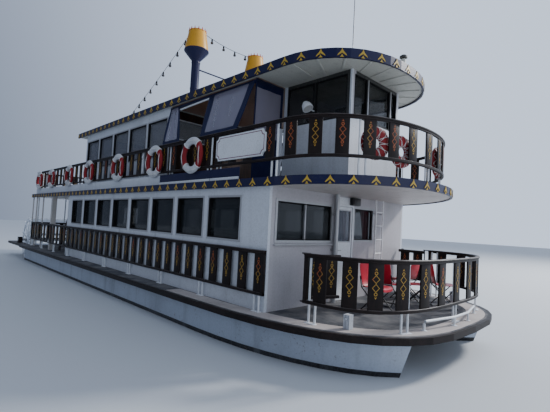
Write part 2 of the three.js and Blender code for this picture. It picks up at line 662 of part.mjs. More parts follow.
for (const side of SIDES) {
  const panes = [[HELM.aft + 110, 7420], [7480, HELM.front - 110]];
  const holes = panes.map((xs) => rectangle(xs, [HELM.sill, HELM.head - 20]));
  const ys = side.y > 0 ? [HELM.half - HELM.wall, HELM.half] : [-HELM.half, HELM.wall - HELM.half];
  add(`wheelhouse_wall_${side.name}`,
    wallAlongX(helmSide, holes, ys), MATERIAL.white);
}
const helmFrontZ = [UPPER_Z[0] + rise(HELM.front), UPPER_Z[1]];
const helmHoles = HELM_PANES.map(({ y }) => rectangle(y, [HELM.sill, HELM.head - 20]));
add("wheelhouse_wall_front", wallAlongY(rectangle([-helmIn, helmIn], helmFrontZ), helmHoles,
  [HELM.front - HELM.wall, HELM.front]), MATERIAL.white);
const glassZ = [HELM.sill - 30, HELM.head];
const glassFront = HELM.front - HELM.wall - GAP;
const glassOutline = [[HELM.aft + 80, -helmIn], [glassFront, -helmIn], [glassFront, helmIn],
  [HELM.aft + 80, helmIn],
  [HELM.aft + 80, helmIn - GLASS], [glassFront - GLASS, helmIn - GLASS],
  [glassFront - GLASS, GLASS - helmIn], [HELM.aft + 80, GLASS - helmIn]];
add("wheelhouse_glass", plate(glassOutline, glassZ), MATERIAL.glass);
add("wheelhouse_wall_aft", wallAlongY(rectangle([-helmIn, helmIn], UPPER_Z), openings({ door: HELM_DOOR }),
  [HELM.aft, HELM.aft + HELM.wall]), MATERIAL.white);
add("wheelhouse_door", leaf(HELM_DOOR, [HELM.aft, HELM.aft + 40], 4350), MATERIAL.white);

const CONSOLE = { x: [7750, 8150], half: 600, low: 4150, high: 4450, shelf: 7950 };
const consoleFoot = MID_TOP + GAP + rise(CONSOLE.x[1]);
const [consoleAft, consoleFront] = CONSOLE.x;
const consoleOutline = [[consoleAft, consoleFoot], [consoleFront, consoleFoot],
  [consoleFront, CONSOLE.high], [CONSOLE.shelf, CONSOLE.high], [consoleAft, CONSOLE.low]];
add("helm_console", wallAlongX(consoleOutline, [], [-CONSOLE.half, CONSOLE.half]), MATERIAL.steel);

// Roof, its blue fascia and what stands on it
const AERIAL = { x: 8510, y: -1140, foot: 30, rod: 8, top: 7200 };
const LIGHT = { x: 8930, y: -50 };
// columns: radius, height over the roof
const LIGHT_PROFILE = [[0, -20], [45, -20], [45, 215], [75, 225], [75, 260], [40, 285], [0, 290]];

const aerial = [rod([AERIAL.x, AERIAL.y, ROOF.top - 20], [AERIAL.x, AERIAL.y, 5760], AERIAL.foot),
  rod([AERIAL.x, AERIAL.y, 5740], [AERIAL.x, AERIAL.y, AERIAL.top], AERIAL.rod)];
const roofLight = lathe(LIGHT_PROFILE, 16).translate(LIGHT.x, LIGHT.y, ROOF.top);
const roofPlate = plate(deckOutline(FRONTS.roof, ROOF.aft), [ROOF.under, ROOF.top]);
add("roof", join([roofPlate, ...aerial, roofLight]), MATERIAL.white);
add("roof_fascia", plate(ringOutline(FRONTS.roof, ROOF.aft, GAP, 40), [ROOF.low, ROOF.high]),
  MATERIAL.navy);

// columns: radius, z
const STACK_PROFILE = [[0, ROOF.top + GAP], [180, ROOF.top + GAP], [180, 5700], [117, 5700], [117, 7010],
  [345, 7270], [335, 7330], [240, 7850], [210, 7850], [210, 7790], [0, 7790]];
const CROWN = { teeth: 12, radius: 225 };

function stack(side) {
  const pieces = [lathe(STACK_PROFILE, 16)];
  for (let i = 0; i < CROWN.teeth; i += 1) {
    const tooth = new THREE.ConeGeometry(22, STACK.height - 7840, 4).rotateX(Math.PI / 2);
    const turn = (i * 2 * Math.PI) / CROWN.teeth;
    pieces.push(tooth.translate(CROWN.radius * Math.cos(turn), CROWN.radius * Math.sin(turn),
      (STACK.height + 7840) / 2));
  }
  return join(pieces).translate(STACK.x, side.y * STACK.y, 0);
}
const tie = rod([STACK.x, -STACK.y, STACK.tie], [STACK.x, STACK.y, STACK.tie], 20);
add("stacks", join([tie, ...SIDES.map(stack)]), MATERIAL.navy);

add("searchlight", join([rod([7450, -HELM.half - GAP, 4950], [7450, -1100, 4950], 18),
  lathe([[0, -90], [60, -80], [110, 60], [110, 80], [0, 80]], 16).rotateY(Math.PI / 2)
    .translate(7450, -1120, 4950)]), MATERIAL.white);

// Fittings on the front wall
const FITTING_X = CABIN.front + 80;
const fittingTop = MID_UNDER + rise(FITTING_X - 50) - GAP;
const LADDER = { y: [930, 1230], first: 1400, pitch: 310, rungs: 6 };
const upright = (y, radius, sides) =>
  rod([FITTING_X, y, DECK_TOP + GAP], [FITTING_X, y, fittingTop], radius, sides);
const ladderRails = LADDER.y.map((y) => upright(y, 18, 10));
const ladderRungs = Array.from({ length: LADDER.rungs }, (_, i) => LADDER.first + i * LADDER.pitch)
  .map((z) => rod([FITTING_X, LADDER.y[0], z], [FITTING_X, LADDER.y[1], z], 12));
add("ladder", join([...ladderRails, ...ladderRungs]), MATERIAL.white);
add("front_pipe", upright(-540, 45, 14), MATERIAL.steel);

// Low tube hoop at the stem
const HOOP = { points: [[9955, -1060], [10110, -300], [10110, 300], [9955, 1060]], z: 1220, radius: 20 };

function hoop() {
  const { points, z, radius } = HOOP;
  const legs = points.map(([x, y]) => rod([x, y, DECK_TOP + GAP], [x, y, z], radius));
  const bends = points.map(([x, y]) => new THREE.SphereGeometry(radius, 10, 6).translate(x, y, z));
  const tubes = points.slice(1).map(([x, y], i) => rod([...points[i], z], [x, y, z], radius));
  return join([...legs, ...bends, ...tubes]);
}
add("bow_rail", hoop(), MATERIAL.white);

// Folding chairs on the foredeck
// columns: x, y, the way it faces in degrees from +X
const CHAIRS = [
  [8800, -470, 0], [9000, 620, 20], [9360, 1140, 35], [8450, 1250, 180], [8612, 230, 90],
];
const CHAIR = { depth: 205, half: 205, seat: [425, 445], back: [185, 440], lean: -10, tube: 11 };

function chair() {
  const { depth, half, seat, back, lean, tube } = CHAIR;
  const foot = tube + 1;
  const tilt = THREE.MathUtils.degToRad(lean);
  const pieces = [block([-depth, depth], [-half, half], seat),
    block([-12, 8], [-half, half], back).rotateY(tilt).translate(-depth, 0, seat[0])];
  for (const y of [-half, half]) {
    pieces.push(rod([-depth, y, foot], [depth, y, seat[0] + 10], tube, 6),
      rod([depth, y, foot], [-depth, y, seat[0] + 10], tube, 6),
      rod([0, y, 0], [0, y, back[1]], tube, 6).rotateY(tilt).translate(-depth, 0, seat[0]));
  }
  for (const x of [-depth, depth]) {
    pieces.push(rod([x, -half, foot], [x, half, foot], tube, 6));
  }
  return join(pieces);
}
CHAIRS.forEach(([x, y, turn], i) => {
  const chairMesh = add(`chair_${i + 1}`, chair(), MATERIAL.red);
  chairMesh.position.set(x, y, DECK_TOP + GAP);
  chairMesh.rotation.z = THREE.MathUtils.degToRad(turn);
});

// Benches along the saloon's windows and tables in front of them, on one floor board
const SEATS = { x: [-2400, 7000], bench: [1750, 2220], seat: 1530, back: 2000, floor: 1100, board: 50 };
const TABLE = { first: 6300, pitch: 2374, count: 4, half: 450, y: [1000, 1600], top: [1790, 1820] };

function saloonTable(side, x) {
  const middle = (TABLE.y[0] + TABLE.y[1]) / 2;
  return [sideBlock(side, [x - TABLE.half, x + TABLE.half], TABLE.y, TABLE.top),
    sideBlock(side, [x - 45, x + 45], [middle - 45, middle + 45], [SEATS.floor - 10, TABLE.top[0] + 10])];
}

function saloonSeats() {
  const [inner, outer] = SEATS.bench;
  const floor = block([SEATS.x[0] - 200, SEATS.x[1] + 200], [-outer, outer], [DECK_TOP + GAP, SEATS.floor]);
  const benches = SIDES.flatMap((side) => [
    sideBlock(side, SEATS.x, [inner, inner + SEATS.board], [SEATS.floor - 10, SEATS.seat]),
    sideBlock(side, SEATS.x, [inner, outer], [SEATS.seat - SEATS.board, SEATS.seat]),
    sideBlock(side, SEATS.x, [outer - SEATS.board, outer], [SEATS.floor - 10, SEATS.back]),
  ]);
  const places = Array.from({ length: TABLE.count }, (_, i) => TABLE.first - i * TABLE.pitch);
  const tables = SIDES.flatMap((side) => places.flatMap((x) => saloonTable(side, x)));
  return join([floor, ...benches, ...tables]);
}
add("saloon_seats", saloonSeats(), MATERIAL.brown);

for (const side of SIDES) {
  add(`lifebuoys_${side.name}`, lifebuoys(side), MATERIAL.buoy);
}

export default model;
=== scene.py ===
"""Looks of the paddle steamer, in metres: bow towards +X, port towards +Y, hull bottoms at z = 0."""
import math

import bmesh
import bpy
from mathutils import Matrix, Vector


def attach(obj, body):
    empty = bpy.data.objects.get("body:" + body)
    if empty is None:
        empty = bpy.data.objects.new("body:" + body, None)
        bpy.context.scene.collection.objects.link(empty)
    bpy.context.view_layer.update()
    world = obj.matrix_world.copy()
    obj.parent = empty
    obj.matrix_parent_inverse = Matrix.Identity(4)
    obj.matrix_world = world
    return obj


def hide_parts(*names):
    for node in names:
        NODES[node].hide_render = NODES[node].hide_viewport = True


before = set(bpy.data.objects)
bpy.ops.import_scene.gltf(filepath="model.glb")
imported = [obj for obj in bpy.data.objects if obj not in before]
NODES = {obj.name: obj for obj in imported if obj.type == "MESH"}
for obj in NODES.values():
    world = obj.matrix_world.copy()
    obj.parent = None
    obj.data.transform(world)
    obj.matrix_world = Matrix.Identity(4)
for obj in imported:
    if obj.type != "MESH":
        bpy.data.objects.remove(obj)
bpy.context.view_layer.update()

# Driving sizes
WATERLINE = 0.455
GAP = 0.0003
DECK_TOP, DECK_AFT = 1.08, -7.5
MID_UNDER, MID_TOP, MID_AFT = 3.22, 3.32, -7.7
ROOF_UNDER, ROOF_AFT = 5.56, -3.8
CABIN = {"front": 7.8, "half": 2.34, "sill": 2.233, "head": 3.039}
WINDOW = {"first": 7.047, "pitch": 1.187, "width": 1.0, "count": 8}
UPPER = {"half": 1.74, "sill": 4.25, "head": 5.285}
UPPER_WINDOW = {"first": 3.04, "pitch": 1.222, "width": 1.1, "count": 5}
HELM = {"front": 8.35, "half": 0.89, "sill": 4.68, "head": 5.48}
HELM_PANES = [(-0.79, -0.37), (-0.29, 0.5), (0.58, 0.79)]
SHEER = {"from": 7.8, "slope": 0.038}
STACK = {"x": 3.2, "y": 1.09, "tie": 6.8}
WHEEL = {"x": -9.1, "z": 1.215, "half": 2.2}
GATE = {"x": 8.49, "y": 2.14, "length": 0.65, "low": 1.4, "high": 2.11}
GATE_SWING = {"starboard": -110, "port": 0}
BOARD = {"width": 0.225, "thick": 0.024}
END_POST = 0.06
BUOY = {"ring": 0.32, "tube": 0.08, "thick": 0.05, "z": 3.95, "y": 2.35, "rod_y": 2.31, "rod_z": 4.26}
BUOY_X = [5.32, 3.62, 1.42, -0.88, -2.89, -5.13, -6.92]
SIDES = {"starboard": -1, "port": 1}
# Half width of the upper rail, and where its front half ends
RAIL_Y, RAIL_SPLIT = 2.26, 6.0
# Open bay between the cabin and the wheelhouse
BAY_AFT, BAY_FRONT = 3.16, 6.575

# Fronts of decks, roof and rails: x where the curve starts, its reach, half width, power
FRONTS = {
    "deck": (6.04, 4.24, 2.74, 3.05),
    "middle": (7.566, 2.081, 2.38, 2.14),
    "roof": (7.41, 1.625, 1.81, 2.25),
    "foredeck_rail": (8.55, 1.47, 2.225, 3.1),
    "upper_rail": (7.95, 1.52, 2.26, 2.0),
}

CAMERA = {"place": (12.514, -6.839, 2.563), "azimuth": 45.49, "pitch": 2.68, "roll": 2.96, "focal": 386.81}
IMAGE_WIDTH = 550
SENSOR = 36


def rise(x):
    return max(0.0, x - SHEER["from"]) * SHEER["slope"]


def make_camera():
    azimuth, pitch, roll = (math.radians(CAMERA[key]) for key in ("azimuth", "pitch", "roll"))
    level = Vector((-math.sin(azimuth), math.cos(azimuth), 0))
    right = Vector((math.cos(azimuth), math.sin(azimuth), 0))
    up = Vector((0, 0, 1))
    look = level * math.cos(pitch) + up * math.sin(pitch)
    top = up * math.cos(pitch) - level * math.sin(pitch)
    across = right * math.cos(roll) + top * math.sin(roll)
    above = top * math.cos(roll) - right * math.sin(roll)
    data = bpy.data.cameras.new("camera")
    data.sensor_fit = "HORIZONTAL"
    data.sensor_width = SENSOR
    data.lens = CAMERA["focal"] / IMAGE_WIDTH * SENSOR
    camera = bpy.data.objects.new("camera", data)
    bpy.context.scene.collection.objects.link(camera)
    turn = Matrix((across, above, -look)).transposed().to_4x4()
    camera.matrix_world = Matrix.Translation(CAMERA["place"]) @ turn
    bpy.context.scene.camera = camera


make_camera()


# Node trees
def wire(tree, kind, inputs=None, **settings):
    """Adds a node, with its settings, and fills its inputs with values or links."""
    made = tree.nodes.new(kind)
    for name, value in settings.items():
        setattr(made, name, value)
    for name, value in (inputs or {}).items():
        socket = made.inputs[name]
        if isinstance(value, bpy.types.NodeSocket):
            tree.links.new(value, socket)
        else:
            socket.default_value = value
    return made


def maths(tree, operation, a, b=0.0, clamp=False):
    return wire(tree, "ShaderNodeMath", {0: a, 1: b}, operation=operation, use_clamp=clamp).outputs[0]


def times(tree, a, b, clamp=False):
    return maths(tree, "MULTIPLY", a, b, clamp)


def plus(tree, a, b, clamp=False):
    return maths(tree, "ADD", a, b, clamp)


def mix(tree, factor, a, b):
    return wire(tree, "ShaderNodeMix", {0: factor, 6: a, 7: b}, data_type="RGBA").outputs[2]


def along(tree, vector, axis):
    """One coordinate of a vector."""
    return wire(tree, "ShaderNodeSeparateXYZ", {0: vector}).outputs["xyz".index(axis)]


def ramp(tree, value, low, high):
    """A mask that goes smoothly from 0 to 1 as a value goes from low to high."""
    limits = {0: value, 1: low, 2: high}
    return wire(tree, "ShaderNodeMapRange", limits, interpolation_type="SMOOTHSTEP").outputs[0]


def scaled(tree, vector, factors):
    return wire(tree, "ShaderNodeVectorMath", {0: vector, 1: factors}, operation="MULTIPLY").outputs[0]


def noise(tree, vector, scale, detail=3.0):
    return wire(tree, "ShaderNodeTexNoise", {"Vector": vector, "Scale": scale, "Detail": detail}).outputs[0]


def effect_group(name, inputs, outputs):
    tree = bpy.data.node_groups.new(name, "ShaderNodeTree")
    for label, kind, value in inputs:
        tree.interface.new_socket(label, in_out="INPUT", socket_type=kind).default_value = value
    for label, kind in outputs:
        tree.interface.new_socket(label, in_out="OUTPUT", socket_type=kind)
    return tree, wire(tree, "NodeGroupInput").outputs, wire(tree, "NodeGroupOutput").inputs


FLOAT, VECTOR, COLOUR = "NodeSocketFloat", "NodeSocketVector", "NodeSocketColor"
GREY = (0.5, 0.5, 0.5, 1)


def weathering_group():
    """Patches, rain streaks and a fine mottle over any paint."""
    tree, given, result = effect_group("weathering", [
        ("Vector", VECTOR, (0, 0, 0)), ("Colour", COLOUR, GREY), ("Grime", COLOUR, GREY),
        ("Scale", FLOAT, 1.0), ("Amount", FLOAT, 0.5), ("Streaks", FLOAT, 0.5),
    ], [("Colour", COLOUR), ("Dirt", FLOAT), ("Height", FLOAT)])
    patches = ramp(tree, noise(tree, given["Vector"], given["Scale"], 5.0), 0.5, 0.8)
    runs = noise(tree, scaled(tree, given["Vector"], (7.0, 7.0, 0.5)), given["Scale"], 2.0)
    runs = times(tree, ramp(tree, runs, 0.52, 0.8), given["Streaks"])
    dirt = times(tree, plus(tree, patches, runs), given["Amount"], clamp=True)
    mottle = noise(tree, given["Vector"], 34.0, 2.0)
    fine = times(tree, ramp(tree, mottle, 0.35, 0.75), 0.16)
    stained = mix(tree, dirt, given["Colour"], given["Grime"])
    tree.links.new(mix(tree, fine, stained, given["Grime"]), result["Colour"])
    tree.links.new(dirt, result["Dirt"])
    tree.links.new(mottle, result["Height"])
    return tree


def joint_lines_group():
    """Evenly spaced lines, such as plank joints or panel seams, as a mask."""
    tree, given, result = effect_group("joint lines", [
        ("Coordinate", FLOAT, 0.0), ("Pitch", FLOAT, 0.5), ("Width", FLOAT, 0.01),
    ], [("Mask", FLOAT)])
    share = maths(tree, "FRACT", maths(tree, "DIVIDE", given["Coordinate"], given["Pitch"]))
    off_middle = maths(tree, "ABSOLUTE", maths(tree, "SUBTRACT", share, 0.5))
    distance = times(tree, off_middle, given["Pitch"])
    away = maths(tree, "DIVIDE", distance, given["Width"], clamp=True)
    tree.links.new(maths(tree, "SUBTRACT", 1.0, away), result["Mask"])
    return tree


def timber_grain_group():
    """Grain that runs along one direction, set by how the vector is stretched."""
    tree, given, result = effect_group("timber grain", [
        ("Vector", VECTOR, (0, 0, 0)), ("Light", COLOUR, GREY), ("Dark", COLOUR, GREY), ("Scale", FLOAT, 1.0),
    ], [("Colour", COLOUR), ("Height", FLOAT)])
    broad = noise(tree, given["Vector"], given["Scale"], 3.0)
    fine = noise(tree, given["Vector"], times(tree, given["Scale"], 6.0), 4.0)
    grain = times(tree, plus(tree, broad, fine), 0.5)
    tree.links.new(mix(tree, ramp(tree, grain, 0.38, 0.62), given["Dark"], given["Light"]), result["Colour"])
    tree.links.new(grain, result["Height"])
    return tree


def worn_spots_group():
    """Small chips and rubbed spots, as a mask."""
    tree, given, result = effect_group("worn spots", [
        ("Vector", VECTOR, (0, 0, 0)), ("Scale", FLOAT, 20.0), ("Amount", FLOAT, 0.3),
    ], [("Mask", FLOAT)])
    spots = noise(tree, given["Vector"], given["Scale"], 6.0)
    areas = noise(tree, given["Vector"], times(tree, given["Scale"], 0.12), 2.0)
    mask = times(tree, ramp(tree, spots, 0.6, 0.68), ramp(tree, areas, 0.45, 0.6))
    tree.links.new(times(tree, mask, given["Amount"], clamp=True), result["Mask"])
    return tree


def deck_dust_group():
    """Pale dust on faces that look up."""
    tree, given, result = effect_group("deck dust", [
        ("Vector", VECTOR, (0, 0, 0)), ("Amount", FLOAT, 0.3),
    ], [("Mask", FLOAT)])
    normal = wire(tree, "ShaderNodeNewGeometry").outputs["Normal"]
    facing = ramp(tree, along(tree, normal, "z"), 0.3, 0.95)
    cloud = ramp(tree, noise(tree, given["Vector"], 3.0, 5.0), 0.3, 0.7)
    mask = times(tree, times(tree, facing, cloud), given["Amount"])
    tree.links.new(mask, result["Mask"])
    return tree


WEATHERING = weathering_group()
JOINT_LINES = joint_lines_group()
TIMBER_GRAIN = timber_grain_group()
WORN_SPOTS = worn_spots_group()
DECK_DUST = deck_dust_group()


def effect(tree, group, inputs):
    return wire(tree, "ShaderNodeGroup", inputs, node_tree=group).outputs


def rgba(colour):
    return (*colour, 1.0)


def new_material(name):
    material = bpy.data.materials.new(name)
    material.use_nodes = True
    tree = material.node_tree
    tree.nodes.clear()
    shader = wire(tree, "ShaderNodeBsdfPrincipled")
    tree.links.new(shader.outputs[0], wire(tree, "ShaderNodeOutputMaterial").inputs[0])
    place = wire(tree, "ShaderNodeTexCoord").outputs["Object"]
    return material, tree, shader, place


def zone_mask(tree, place, limits):
    """1 inside the given limits, such as {"z": (0, 0.5)}, and 0 outside."""
    mask = None
    for axis, (low, high) in limits.items():
        value = along(tree, place, axis)
        inside = times(tree, maths(tree, "GREATER_THAN", value, low), maths(tree, "LESS_THAN", value, high))
        mask = inside if mask is None else times(tree, mask, inside)
    return mask


def joint_line(tree, coordinate, pitch, width):
    return effect(tree, JOINT_LINES, {"Coordinate": coordinate, "Pitch": pitch, "Width": width})["Mask"]


def worn_spots(tree, place, scale, amount):
    return effect(tree, WORN_SPOTS, {"Vector": place, "Scale": scale, "Amount": amount})["Mask"]


def dusted(tree, place, shade, amount, colour):
    powder = effect(tree, DECK_DUST, {"Vector": place, "Amount": amount})["Mask"]
    return mix(tree, powder, shade, rgba(colour))


def dimmed(colour, share):
    return tuple(c * share for c in colour)


def feed(tree, shader, links, plain):
    """Fills the shader's sockets: some with links, some with plain numbers."""
    for name, value in links.items():
        tree.links.new(value, shader.inputs[name])
    for name, value in plain.items():
        shader.inputs[name].default_value = value


def bump_of(tree, height, strength, distance):
    inputs = {"Strength": strength, "Distance": distance, "Height": height}
    return wire(tree, "ShaderNodeBump", inputs).outputs[0]


PAINT_DUST, TIMBER_DUST = (0.55, 0.52, 0.48), (0.5, 0.44, 0.42)


def painted(name, colour, grime=(0.2, 0.19, 0.17), roughness=0.4, scale=0.9, amount=0.4, streaks=0.6,
            seams=(), zones=(), chips=(0.3, (0.25, 0.2, 0.17)), dust=0.25, bump=0.15, metallic=0.0,
            specular=0.4):
    """Paint with weathering, seams, chips and dust. A seam is (axis, pitch, width, depth); a zone is
    (limits, colour); chips are (amount, colour)."""
    material, tree, shader, place = new_material(name)
    base = rgba(colour)
    for limits, tint in zones:
        base = mix(tree, zone_mask(tree, place, limits), base, rgba(tint))
    worn = effect(tree, WEATHERING, {"Vector": place, "Colour": base, "Grime": rgba(grime), "Scale": scale,
                                     "Amount": amount, "Streaks": streaks})
    shade, height = worn["Colour"], times(tree, worn["Height"], bump)
    for axis, pitch, width, depth in seams:
        line = joint_line(tree, along(tree, place, axis), pitch, width)
        shade = mix(tree, times(tree, line, 0.6 * depth), shade, rgba(grime))
        height = maths(tree, "SUBTRACT", height, times(tree, line, depth))
    shade = mix(tree, worn_spots(tree, place, 26.0, chips[0]), shade, rgba(chips[1]))
    shade = dusted(tree, place, shade, dust, PAINT_DUST)
    rough = plus(tree, times(tree, worn["Dirt"], 0.35), roughness, clamp=True)
    feed(tree, shader, {"Base Color": shade, "Roughness": rough, "Normal": bump_of(tree, height, 0.5, 0.006)},
         {"Metallic": metallic, "Specular IOR Level": specular})
    return material


def timbered(name, light, dark, stretch, roughness=0.5, worn=0.3, dust=0.1):
    """Painted or varnished timber whose grain follows the longest stretch."""
    material, tree, shader, place = new_material(name)
    grain = effect(tree, TIMBER_GRAIN, {"Vector": scaled(tree, place, stretch), "Light": rgba(light),
                                        "Dark": rgba(dark), "Scale": 3.0})
    rubbed = tuple(min(1.0, c * 2 + 0.01) for c in light)
    shade = mix(tree, worn_spots(tree, place, 18.0, worn), grain["Colour"], rgba(rubbed))
    shade = dusted(tree, place, shade, dust, TIMBER_DUST)
    rough = plus(tree, times(tree, grain["Height"], 0.3), roughness - 0.15, clamp=True)
    bumped = bump_of(tree, times(tree, grain["Height"], 0.4), 0.4, 0.004)
    feed(tree, shader, {"Base Color": shade, "Roughness": rough, "Normal": bumped},
         {"Specular IOR Level": 0.2})
    return material


def glazed(name, tint, alpha, roughness=0.04, specular=0.5, zones=()):
    """Glass that lets some light through and mirrors the rest. A zone is (limits, alpha)."""
    material, tree, shader, place = new_material(name)
    smear = ramp(tree, noise(tree, scaled(tree, place, (1.0, 1.0, 0.3)), 2.5, 4.0), 0.45, 0.8)
    links = {"Base Color": mix(tree, times(tree, smear, 0.1), rgba(tint), rgba((0.3, 0.3, 0.3))),
             "Roughness": plus(tree, times(tree, smear, 0.12), roughness)}
    for limits, clearer in zones:
        change = times(tree, zone_mask(tree, place, limits), clearer - alpha)
        links["Alpha"] = plus(tree, change, alpha)
    feed(tree, shader, links, {"Alpha": alpha, "IOR": 1.5, "Specular IOR Level": specular})
    return material


def woven(name, colour, light, thread=0.0025):
    """Cloth with a plain weave on its own UV map, in metres."""
    material, tree, shader, place = new_material(name)
    flat = wire(tree, "ShaderNodeUVMap").outputs[0]
    threads = [joint_line(tree, along(tree, flat, axis), thread, thread * 0.5) for axis in "xy"]
    weave = times(tree, plus(tree, *threads), 0.5)
    faded = ramp(tree, noise(tree, place, 2.2, 4.0), 0.3, 0.75)
    shade = mix(tree, times(tree, faded, 0.6), rgba(colour), rgba(light))
    shade = mix(tree, times(tree, weave, 0.35), shade, rgba(dimmed(colour, 0.5)))
    feed(tree, shader, {"Base Color": shade, "Normal": bump_of(tree, weave, 0.5, 0.001)},
         {"Roughness": 0.85, "Specular IOR Level": 0.15, "Sheen Weight": 0.05})
    return material


NAVY, GOLD, ORANGE = (0.0045, 0.006, 0.045), (0.42, 0.24, 0.02), (0.4, 0.085, 0.01)
WHITE, BROWN, SHADE = (0.6, 0.63, 0.68), (0.012, 0.007, 0.006), (0.02, 0.022, 0.022)


def gilded():
    """Gold ornament paint that runs to orange-red on some boards: towards their tops on the main deck, and
    all over on the deck above."""
    material, tree, shader, place = new_material("ornament_gold")
    patch = ramp(tree, noise(tree, scaled(tree, place, (1.0, 1.0, 0.0)), 1.9, 0.0), 0.52, 0.56)
    high = ramp(tree, along(tree, place, "z"), 1.7, 1.85)
    shade = mix(tree, times(tree, patch, high), rgba(GOLD), rgba(ORANGE))
    shade = mix(tree, worn_spots(tree, place, 60.0, 0.6), shade, rgba(BROWN))
    feed(tree, shader, {"Base Color": shade}, {"Roughness": 0.45})
    return material


# Strips of wall between the wheelhouse's panes, painted near black as painted shade so that they read as the
# dark glass beside them
HELM_SHADE_STRIPS = [({"x": (6.69, 8.31), "y": ys, "z": (4.66, 5.56)}, SHADE)
               for ys in ((-0.95, -0.885), (0.885, 0.95))]
# On the wheelhouse's front: near-black painted shade on the wall between its panes, and plain white below
# them, a lit copy of the wall over the end walls' painted shade
FRONT_SHADE_AND_LIGHT_ZONES = [({"x": (8.34, 8.4), "y": (-0.76, 0.8), "z": (4.66, 5.56)}, SHADE),
               ({"x": (8.2, 8.4), "z": (3.3, 4.66)}, WHITE)]
# Brown ceiling of the bay, and the dark light on the roof
ROOF_ZONES = [({"x": (3.1, 6.6), "y": (-1.7, 1.7), "z": (5.5, 5.6)}, (0.3, 0.15, 0.09)),
              ({"z": (5.86, 9)}, (0.02, 0.02, 0.02))]
# Clear panes by the front door
CLEAR_PANES = [({"x": (7.6, 7.9), "y": (-0.5, 1.0), "z": (2.2, 3.1)}, 0.15)]

